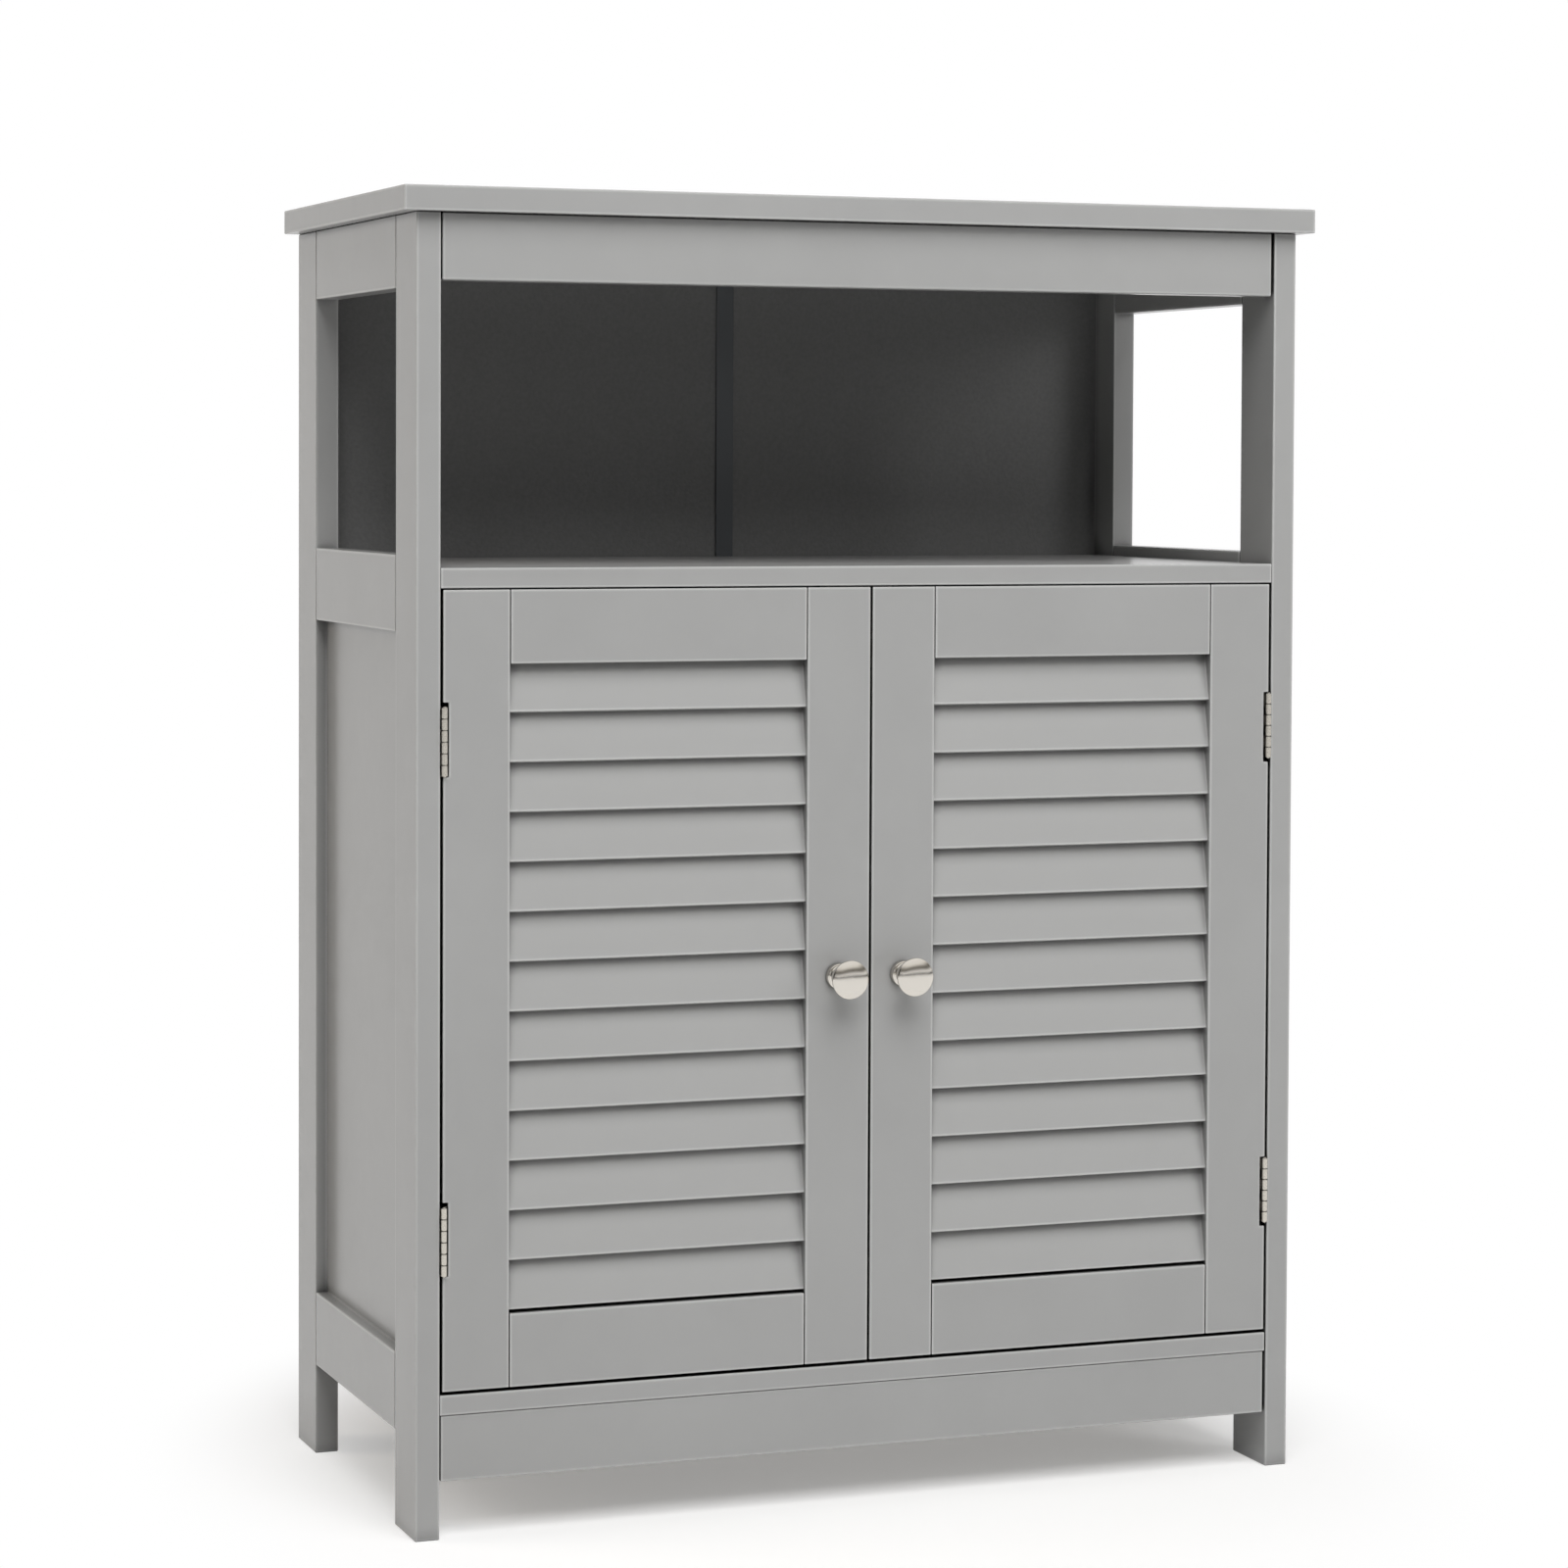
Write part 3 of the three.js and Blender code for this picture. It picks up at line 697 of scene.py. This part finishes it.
low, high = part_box("right_door_knob")
knob_seat = Vector(((low.x + high.x) / 2, high.y, (low.z + high.z) / 2))
right_knob = turned("right_door_knob_turned", knob_profile_mm, knob_seat, KNOB_SIDES)
shade(right_knob, METAL_ANGLE)
left_knob = mirrored_copy_of(right_knob, "left_door_knob_turned", METAL_ANGLE)
for side, knob in (("right", right_knob), ("left", left_knob)):
    finish_piece(knob, side + "_door", "satin_nickel", knob_nickel, side + "_door_knob")
print("knob faces:", len(right_knob.data.polygons))

# %% [markdown]
# ## Hinges
#
# These are small butt hinges: two plates that end in rolled knuckles, with a pin through the
# knuckles. The fixed plate is screwed to the post and has the first, third and fifth knuckle
# from below; the moving plate is screwed into the door's notch and has the others. Each knuckle
# is a short cylinder with a rounded rim, which is what catches the light in the photograph. Behind
# it the sheet runs straight back and then steps sideways to its plate, so that only the barrel
# shows in the dark notch.

# %% Knuckles, plates and screws of a hinge
KNUCKLES = 6
BARREL_RADIUS = 1.8 * MM
PIN_RADIUS = 0.95 * MM
PIN_STICKS_OUT = 0.35 * MM
PIN_ROUNDING = 0.3 * MM
KNUCKLE_GAP = 0.6 * MM
NECK_LENGTH = 4.2 * MM
RIM_ROUNDING = 0.15 * MM
SHEET = 1 * MM
SHEET_ARRIS = 0.12 * MM
PLATE_CORNER = 2.5 * MM
SCREW_LEVELS = (0.2, 0.8)
SCREW_RADIUS = 2.6 * MM
SCREW_HEAD = 0.45 * MM
SCREW_SETBACK = 1 * MM
SLOT_WIDTH = 0.7 * MM
CROSS_TURNS = (math.radians(25), math.radians(115))


def rod(name, radius, low_z, high_z):
    """An upright rod about the hinge's axis."""
    deselect_all()
    bpy.ops.mesh.primitive_cylinder_add(
        vertices=32, radius=radius, depth=high_z - low_z,
        location=(HINGE_AXIS.x, HINGE_AXIS.y, (low_z + high_z) / 2))
    piece = bpy.context.active_object
    piece.name = name
    put_place_in_mesh(piece)
    return piece


def screw_head(name, seat, along, radius=SCREW_RADIUS, rise=SCREW_HEAD):
    """A flat screw head with a cross recess, its face towards the along direction."""
    deselect_all()
    along = Vector(along)
    turn = along.to_track_quat("Z", "Y").to_euler()
    centre = Vector(seat) + along * rise / 2
    bpy.ops.mesh.primitive_cylinder_add(vertices=28, radius=radius, depth=rise, location=centre,
                                        rotation=turn)
    head = bpy.context.active_object
    head.name = name
    round_edges(head, rise * 0.45, 2)
    for cross_turn in CROSS_TURNS:
        deselect_all()
        bpy.ops.mesh.primitive_cube_add(size=1, location=Vector(seat) + along * rise,
                                        rotation=turn)
        slot_cutter = bpy.context.active_object
        slot_cutter.rotation_euler.rotate_axis("Z", cross_turn)
        slot_cutter.scale = (radius * 1.25, SLOT_WIDTH * radius / SCREW_RADIUS, rise * 1.3)
        cut_with(head, slot_cutter)
    put_place_in_mesh(head)
    return head


def hinge_leaf(name, node, first_knuckle, with_pin):
    """One leaf in the place of its CAD piece: plate, knuckles, screws, and the pin if it has it."""
    low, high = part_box(node)
    pitch = (high.z - low.z) / KNUCKLES
    plate_low_x, plate_high_x = HINGE_PLATES[with_pin]
    neck_high_y = HINGE_AXIS.y + NECK_LENGTH
    plate = block(name, (plate_low_x, neck_high_y - SHEET, low.z), (plate_high_x, high.y, high.z))
    round_corners_of_plate(plate, X_AXIS, PLATE_CORNER, segments=5,
                           behind_y=(low.y + high.y) / 2)
    round_edges(plate, SHEET_ARRIS, 2)
    parts = [plate]
    neck_middle = HINGE_AXIS.x + (0.5 if with_pin else -0.5) * BARREL_RADIUS
    neck_low_x, neck_high_x = neck_middle - SHEET / 2, neck_middle + SHEET / 2
    for number in range(first_knuckle, KNUCKLES, 2):
        knuckle_low = low.z + number * pitch + KNUCKLE_GAP / 2
        knuckle_high = low.z + (number + 1) * pitch - KNUCKLE_GAP / 2
        knuckle = rod("knuckle", BARREL_RADIUS, knuckle_low, knuckle_high)
        round_edges(knuckle, RIM_ROUNDING, 3)
        neck = block("neck", (neck_low_x, HINGE_AXIS.y, knuckle_low),
                     (neck_high_x, neck_high_y, knuckle_high))
        crank = block("crank", (min(neck_low_x, plate_low_x), neck_high_y - SHEET, knuckle_low),
                      (max(neck_high_x, plate_high_x), neck_high_y, knuckle_high))
        for piece in (neck, crank):
            round_edges(piece, SHEET_ARRIS, 2)
        parts += [knuckle, neck, crank]
    if with_pin:
        pin = rod("pin", PIN_RADIUS, low.z - PIN_STICKS_OUT, high.z + PIN_STICKS_OUT)
        round_edges(pin, PIN_ROUNDING, 3)
        parts.append(pin)
    screw_x = plate_low_x if with_pin else plate_high_x
    outward = (-1, 0, 0) if with_pin else (1, 0, 0)
    screw_y = (HINGE_AXIS.y + BARREL_RADIUS + high.y) / 2 + SCREW_SETBACK
    for share in SCREW_LEVELS:
        seat = (screw_x, screw_y, low.z + share * (high.z - low.z))
        parts.append(screw_head("hinge screw", seat, outward))
    leaf = join_pieces(name, parts)
    shade(leaf, METAL_ANGLE)
    return leaf


# %% [markdown]
# The two plates of a closed hinge lie face to face with a little air between them, so their
# screw heads are kept low. The pin's axis is where the CAD joint turns.

# %% The four hinges
swing = next(joint for joint in frame["joints"] if joint["name"] == "right_door_swing")
HINGE_AXIS = Vector(swing["pos_m"])
fixed_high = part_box("right_upper_hinge_fixed_leaf")[1].x
moving_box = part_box("right_upper_hinge_moving_leaf")
HINGE_PLATES = {
    True: (fixed_high - SHEET, fixed_high),
    False: (moving_box[0].x, moving_box[0].x + SHEET),
}
print("hinge axis x, y:", round(HINGE_AXIS.x / MM, 2), round(HINGE_AXIS.y / MM, 2),
      "plates:", HINGE_PLATES)
upper_middle = sum(corner.z for corner in moving_box) / 2
lower_middle = sum(corner.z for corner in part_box("right_lower_hinge_moving_leaf")) / 2
drop = Vector((0, 0, lower_middle - upper_middle))
for part, first_knuckle, with_pin in (("fixed_leaf", 0, True), ("moving_leaf", 1, False)):
    node = f"right_upper_hinge_{part}"
    upper = hinge_leaf(node + "_plated", node, first_knuckle, with_pin)
    lower = copy_of(upper, f"right_lower_hinge_{part}_plated", drop)
    for level, leaf in (("upper", upper), ("lower", lower)):
        left_node = f"left_{level}_hinge_{part}"
        left_leaf = mirrored_copy_of(leaf, left_node + "_plated", METAL_ANGLE)
        finish_piece(leaf, "carcass" if with_pin else "right_door", "satin_nickel", hinge_nickel,
                     f"right_{level}_hinge_{part}")
        finish_piece(left_leaf, "carcass" if with_pin else "left_door", "satin_nickel",
                     hinge_nickel, left_node)
print("hinge leaf faces:", len(upper.data.polygons))

# %% [markdown]
# ## The catch
#
# A magnetic catch under the middle shelf keeps the doors shut: a white nylon housing, a screw
# ear on each side, and two steel pole plates that show as thin bars at its front. Each door
# carries a small steel plate on its back that the magnet pulls.

# %% The catch's housing and ears
EAR_WIDTH = 8 * MM
EAR_THICKNESS = 3 * MM
EAR_SETBACK = 2 * MM
POCKET_WALL = 2 * MM
POCKET_CEILING = 2.5 * MM
POCKET_DEPTH = 0.8 * MM
HOUSING_ARRIS, EAR_ARRIS = 0.6 * MM, 0.5 * MM
low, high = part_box("door_catch")
housing_low_x, housing_high_x = low.x + EAR_WIDTH, high.x - EAR_WIDTH
housing = block("housing", (housing_low_x, low.y, low.z), (housing_high_x, high.y, high.z))
pocket = block("pocket cutter",
               (housing_low_x + POCKET_WALL, low.y - CUT_PAST, low.z + POCKET_WALL),
               (housing_high_x - POCKET_WALL, low.y + POCKET_DEPTH, high.z - POCKET_CEILING))
cut_with(housing, pocket)
round_edges(housing, HOUSING_ARRIS)
ears = block("ears", (low.x, low.y + EAR_SETBACK, high.z - EAR_THICKNESS),
             (high.x, high.y - EAR_SETBACK, high.z))
round_edges(ears, EAR_ARRIS)
catch = join_pieces("door_catch_moulded", [housing, ears])
shade(catch)
finish_piece(catch, "carcass", "catch_plastic", catch_plastic, "door_catch")
print("catch faces:", len(catch.data.polygons))

# %% The catch's pole plates and screws
POLE_INSET = 3 * MM
POLE_LENGTH = 6 * MM
POLE_THICKNESS = 1.5 * MM
POLE_ARRIS = 0.2 * MM
POLE_LEVELS = (low.z + 3 * MM, high.z - 5 * MM)
poles = []
for pole_low in POLE_LEVELS:
    pole = block("pole", (housing_low_x + POLE_INSET, low.y, pole_low),
                 (housing_high_x - POLE_INSET, low.y + POLE_LENGTH, pole_low + POLE_THICKNESS))
    round_edges(pole, POLE_ARRIS, 2)
    poles.append(pole)
for screw_x in (low.x + EAR_WIDTH / 2, high.x - EAR_WIDTH / 2):
    seat = (screw_x, (low.y + high.y) / 2, high.z - EAR_THICKNESS)
    poles.append(screw_head("catch screw", seat, (0, 0, -1), radius=2.2 * MM, rise=0.9 * MM))
catch_steel = join_pieces("door_catch_poles_and_screws", poles)
shade(catch_steel)
finish_piece(catch_steel, "carcass", "satin_nickel", zinc_steel)
print("poles and screws of the catch:", len(poles))

# %% [markdown]
# ## Small steel on the backs of the doors
#
# Behind each knob the head of its machine screw shows on a washer, and high on each inner stile
# sits the strike plate for the catch. Nobody sees them until a door opens.

# %% Strike plates and knob screws
STRIKE_THICKNESS = 0.8 * MM
STRIKE_CORNER, STRIKE_ARRIS = 2 * MM, 0.15 * MM
STRIKE_LOW_X, STRIKE_HIGH_X = 4 * MM, 19 * MM
STRIKE_RISE, STRIKE_HEIGHT = 1 * MM, 10 * MM
WASHER_MM = [(5.0, 0.0), (5.0, -0.6), (4.6, -0.8), (3.9, -0.85)]
WASHER_FACE = 0.8 * MM
catch_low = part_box("door_catch")[0]
door_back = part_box("right_door_frame")[1].y
strike_low = Vector((STRIKE_LOW_X, door_back, catch_low.z + STRIKE_RISE))
strike_high = Vector((STRIKE_HIGH_X, door_back + STRIKE_THICKNESS, strike_low.z + STRIKE_HEIGHT))
strike = block("strike", strike_low, strike_high)
round_corners_of_plate(strike, Y_AXIS, STRIKE_CORNER, segments=4)
round_edges(strike, STRIKE_ARRIS, 2)
strike_middle = (strike_low + strike_high) / 2
strike_screw = screw_head("strike screw", (strike_middle.x, strike_high.y, strike_middle.z),
                          (0, 1, 0), radius=2.2 * MM, rise=0.4 * MM)
washer = turned("washer", WASHER_MM, (knob_seat.x, door_back, knob_seat.z), sides=48)
screw_back = screw_head("knob screw", (knob_seat.x, door_back + WASHER_FACE, knob_seat.z),
                        (0, 1, 0), radius=3.6 * MM, rise=1.8 * MM)
right_steel = join_pieces("right_door_back_steel", [strike, strike_screw, washer, screw_back])
shade(right_steel)
left_steel = mirrored_copy_of(right_steel, "left_door_back_steel")
for side, steel in (("right", right_steel), ("left", left_steel)):
    finish_piece(steel, side + "_door", "satin_nickel", zinc_steel)
print("door back steel faces:", len(right_steel.data.polygons))

# %% [markdown]
# ## Panel pins
#
# The hardboard is pinned to the back edges of the three shelves. Each pin is a small flattened
# head. One is made, and the rest are copies along three rows.

# %% Panel pins on the back
PIN_HEAD_MM = [(1.3, 0.0), (1.3, -0.15), (1.1, -0.32), (0.5, -0.4)]
PIN_SPACING = 62 * MM
PIN_FROM_MIDDLE = 26 * MM
PINS_PER_SIDE = 4
pins = []
for shelf in ("bottom_board", "inner_shelf", "middle_shelf"):
    shelf_low, shelf_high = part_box(shelf)
    level = (shelf_low.z + shelf_high.z) / 2
    for side in (-1, 1):
        for number in range(PINS_PER_SIDE):
            pin_x = side * (PIN_FROM_MIDDLE + number * PIN_SPACING)
            place = Vector((pin_x, PANEL_BACK_Y, level))
            if not pins:
                first_place = place
                pins.append(turned("panel pin", PIN_HEAD_MM, place, sides=16))
            else:
                pins.append(copy_of(pins[0], "panel pin", place - first_place))
panel_pins = join_pieces("back_panel_pins", pins)
shade(panel_pins)
finish_piece(panel_pins, "carcass", "satin_nickel", zinc_steel)
print("panel pins:", len(pins))

# %% [markdown]
# ## Floor and background
#
# The cabinet stands in a white studio. The floor is a matt white sheet that keeps the cabinet's
# shadow. A studio floor like this is lit from all sides, which keeps its shadow pale, so a little
# white glow is added that only the camera and reflections see. Far from the cabinet the glow takes
# over, so that floor and background meet without a line.

# %% Floor
FLOOR_SIZE = 60.0
FADE_START = 0.25
FADE_END = 0.52
FADE_FLATTENING = 1.2
FADE_CENTRE_X = 0.01
FLOOR_GLOW = 0.29


def seen_directly(tree):
    """1 for rays from the camera, from gloss and through glass; 0 for the light on the object."""
    path = add_node(tree, "ShaderNodeLightPath")
    glossy = add_node(tree, "ShaderNodeMath", {"operation": "MAXIMUM"},
                      links={0: path.outputs["Is Camera Ray"], 1: path.outputs["Is Glossy Ray"]})
    return add_node(tree, "ShaderNodeMath", {"operation": "MAXIMUM"},
                    links={0: glossy.outputs[0], 1: path.outputs["Is Transmission Ray"]}).outputs[0]


deselect_all()
bpy.ops.mesh.primitive_plane_add(size=FLOOR_SIZE)
floor = bpy.context.active_object
floor.name = "floor"
floor_white, tree, output, place = new_material("matt_white_studio_floor")
direct = seen_directly(tree)
sheet = add_node(tree, "ShaderNodeBsdfDiffuse", values={"Color": linear("e6e6e6")})
lift = add_node(tree, "ShaderNodeMath", {"operation": "MULTIPLY"}, {1: FLOOR_GLOW}, {0: direct})
glow = add_node(tree, "ShaderNodeEmission", values={"Color": linear("fffdfa")},
                links={"Strength": lift.outputs[0]})
matt = add_node(tree, "ShaderNodeAddShader", links={0: sheet.outputs[0], 1: glow.outputs[0]})
white = add_node(tree, "ShaderNodeEmission", values={"Color": (1, 1, 1, 1), "Strength": 1.0})
oval = add_node(tree, "ShaderNodeMapping",
                values={"Location": (-FADE_CENTRE_X * FADE_FLATTENING, 0.0, 0.0),
                        "Scale": (FADE_FLATTENING, 1.0, 1.0)},
                links={"Vector": place})
distance = add_node(tree, "ShaderNodeVectorMath", {"operation": "LENGTH"},
                    links={0: oval.outputs["Vector"]})
fade = add_node(tree, "ShaderNodeMapRange", {"interpolation_type": "SMOOTHSTEP"},
                {"From Min": FADE_START, "From Max": FADE_END},
                {"Value": distance.outputs["Value"]})
share = add_node(tree, "ShaderNodeMath", {"operation": "MULTIPLY"},
                 links={0: fade.outputs["Result"], 1: direct})
blend = add_node(tree, "ShaderNodeMixShader", links={0: share.outputs[0], 1: matt.outputs[0],
                                                    2: white.outputs[0]})
tree.links.new(blend.outputs[0], output.inputs["Surface"])
floor.data.materials.append(floor_white)
print("floor fades to white from", FADE_START, "to", FADE_END, "metres")

# %% [markdown]
# The room round the studio shows only in reflections, most of all in the metal of the knobs and
# hinges. It is drawn as bands by height above the horizon, in front of the cabinet: a dark
# skirting, a bright window, a grey wall and a bright ceiling light. A dark curtain at the far left
# gives the round metal its dark left rim. The camera itself sees plain white in every direction.

# %% Background
AMBIENT = 0.035
CURTAIN_EDGE_X = -0.8
CURTAIN_END_X = -0.5
CURTAIN_TONE = 0.03
WALLS_EDGE_Y = 0.15
WALLS_END_Y = -0.1
ROOM_BANDS = [(0.0, "0c0b0b"), (0.07, "141312"), (0.1, "ffffff"), (0.16, "ffffff"),
              (0.28, "66625c"), (0.38, "6f6c66"), (0.56, "f4f2ee"), (0.9, "ffffff"),
              (0.96, "c8c6c2")]

world = bpy.data.worlds.new("white_studio")
bpy.context.scene.world = world
world.use_nodes = True
tree = world.node_tree
tree.nodes.clear()
output = add_node(tree, "ShaderNodeOutputWorld")
ambient = add_node(tree, "ShaderNodeBackground",
                   values={"Color": (1, 1, 1, 1), "Strength": AMBIENT})
backdrop = add_node(tree, "ShaderNodeBackground",
                    values={"Color": (1, 1, 1, 1), "Strength": 1.0})
direction = add_node(tree, "ShaderNodeTexCoord").outputs["Generated"]
parts = add_node(tree, "ShaderNodeSeparateXYZ", links={"Vector": direction})
bands = add_node(tree, "ShaderNodeValToRGB", links={"Fac": parts.outputs["Z"]})
ramp = bands.color_ramp
ramp.elements.remove(ramp.elements[1])
for number, (height, hex_colour) in enumerate(ROOM_BANDS):
    element = ramp.elements[0] if number == 0 else ramp.elements.new(height)
    element.position = height
    element.color = linear(hex_colour)
curtain = add_node(tree, "ShaderNodeMapRange", {"interpolation_type": "SMOOTHSTEP"},
                   {"From Min": CURTAIN_EDGE_X, "From Max": CURTAIN_END_X,
                    "To Min": CURTAIN_TONE, "To Max": 1.0},
                   {"Value": parts.outputs["X"]})
in_front = add_node(tree, "ShaderNodeMapRange", {"interpolation_type": "SMOOTHSTEP"},
                    {"From Min": WALLS_EDGE_Y, "From Max": WALLS_END_Y},
                    {"Value": parts.outputs["Y"]})
walls = add_node(tree, "ShaderNodeMix", {"data_type": "RGBA"}, {6: (1, 1, 1, 1)},
                 {0: in_front.outputs["Result"],
                  7: times(tree, bands.outputs["Color"], curtain.outputs["Result"])})
room = add_node(tree, "ShaderNodeBackground", values={"Strength": 1.0},
                links={"Color": walls.outputs[2]})
glossy = add_node(tree, "ShaderNodeLightPath").outputs["Is Glossy Ray"]
seen = add_node(tree, "ShaderNodeMixShader",
                links={0: glossy, 1: backdrop.outputs[0], 2: room.outputs[0]})
mix = add_node(tree, "ShaderNodeMixShader", links={0: seen_directly(tree), 1: ambient.outputs[0],
                                                  2: seen.outputs[0]})
tree.links.new(mix.outputs[0], output.inputs["Surface"])
print("bands of the room:", len(ramp.elements))

# %% [markdown]
# ## Lights
#
# The photograph was lit from above and in front: the louvres throw a soft shadow on each other,
# the inside of the open compartment stays dark, and the left side is almost as bright as the
# front. A wide lamp stands high in front, a little to the left. A second one fills the left side
# from behind. A third, smaller one stands in front on the right: it lifts the front's right half
# and reaches into the open compartment. Metal and sheen mirror the room's bands and not the
# lamps, which would show in the knobs as square white spots.

# %% Lights
def soft_lamp(name, place, target, width, power, hex_colour="ffffff"):
    deselect_all()
    bpy.ops.object.light_add(type="AREA", location=place)
    lamp = bpy.context.active_object
    lamp.name = name
    lamp.data.shape = "SQUARE"
    lamp.data.size = width
    lamp.data.energy = power
    lamp.data.color = linear(hex_colour)[:3]
    lamp.visible_glossy = False
    lamp.rotation_euler = (Vector(target) - Vector(place)).to_track_quat("-Z", "Y").to_euler()


soft_lamp("key lamp", (-0.25, -2.0, 2.9), (0, 0, 0.4), width=2.4, power=102)
soft_lamp("left fill lamp", (-2.4, 0.9, 1.5), (0, 0, 0.4), width=1.4, power=15.5,
          hex_colour="fff4e6")
soft_lamp("right fill lamp", (2.0, -1.9, 1.4), (0, 0, 0.5), width=1.0, power=15)

# %% [markdown]
# ## Camera
#
# The photograph was taken from the left, a little over two and a half metres away, level with the
# open compartment, with a telephoto lens whose frame is shifted a little downwards. These values
# come from matching the model's edges with the edges in the photograph.

# %% Camera
CAMERA_PLACE = Vector((-0.9517, -2.4994, 0.6385))
CAMERA_YAW = math.radians(20.667)
CAMERA_PITCH = math.radians(2.0)
CAMERA_ROLL = math.radians(0.239)
LENS_MM = 96.08
SENSOR_WIDTH_MM = 36
LENS_SHIFT_Y = -0.1115

deselect_all()
bpy.ops.object.camera_add(location=CAMERA_PLACE)
camera = bpy.context.active_object
camera.name = "camera"
bpy.context.scene.camera = camera
level_turn = Vector((math.sin(CAMERA_YAW), math.cos(CAMERA_YAW), 0))
forward = level_turn * math.cos(CAMERA_PITCH) - Vector((0, 0, 1)) * math.sin(CAMERA_PITCH)
facing = forward.to_track_quat("-Z", "Y").to_matrix()
camera.rotation_euler = facing.to_euler()
camera.rotation_euler.rotate_axis("Z", CAMERA_ROLL)
camera.data.sensor_width = SENSOR_WIDTH_MM
camera.data.lens = LENS_MM
camera.data.shift_y = LENS_SHIFT_Y
camera.data.clip_end = 200
bpy.context.scene.view_settings.view_transform = "Standard"
print("camera at", tuple(round(value, 3) for value in CAMERA_PLACE))
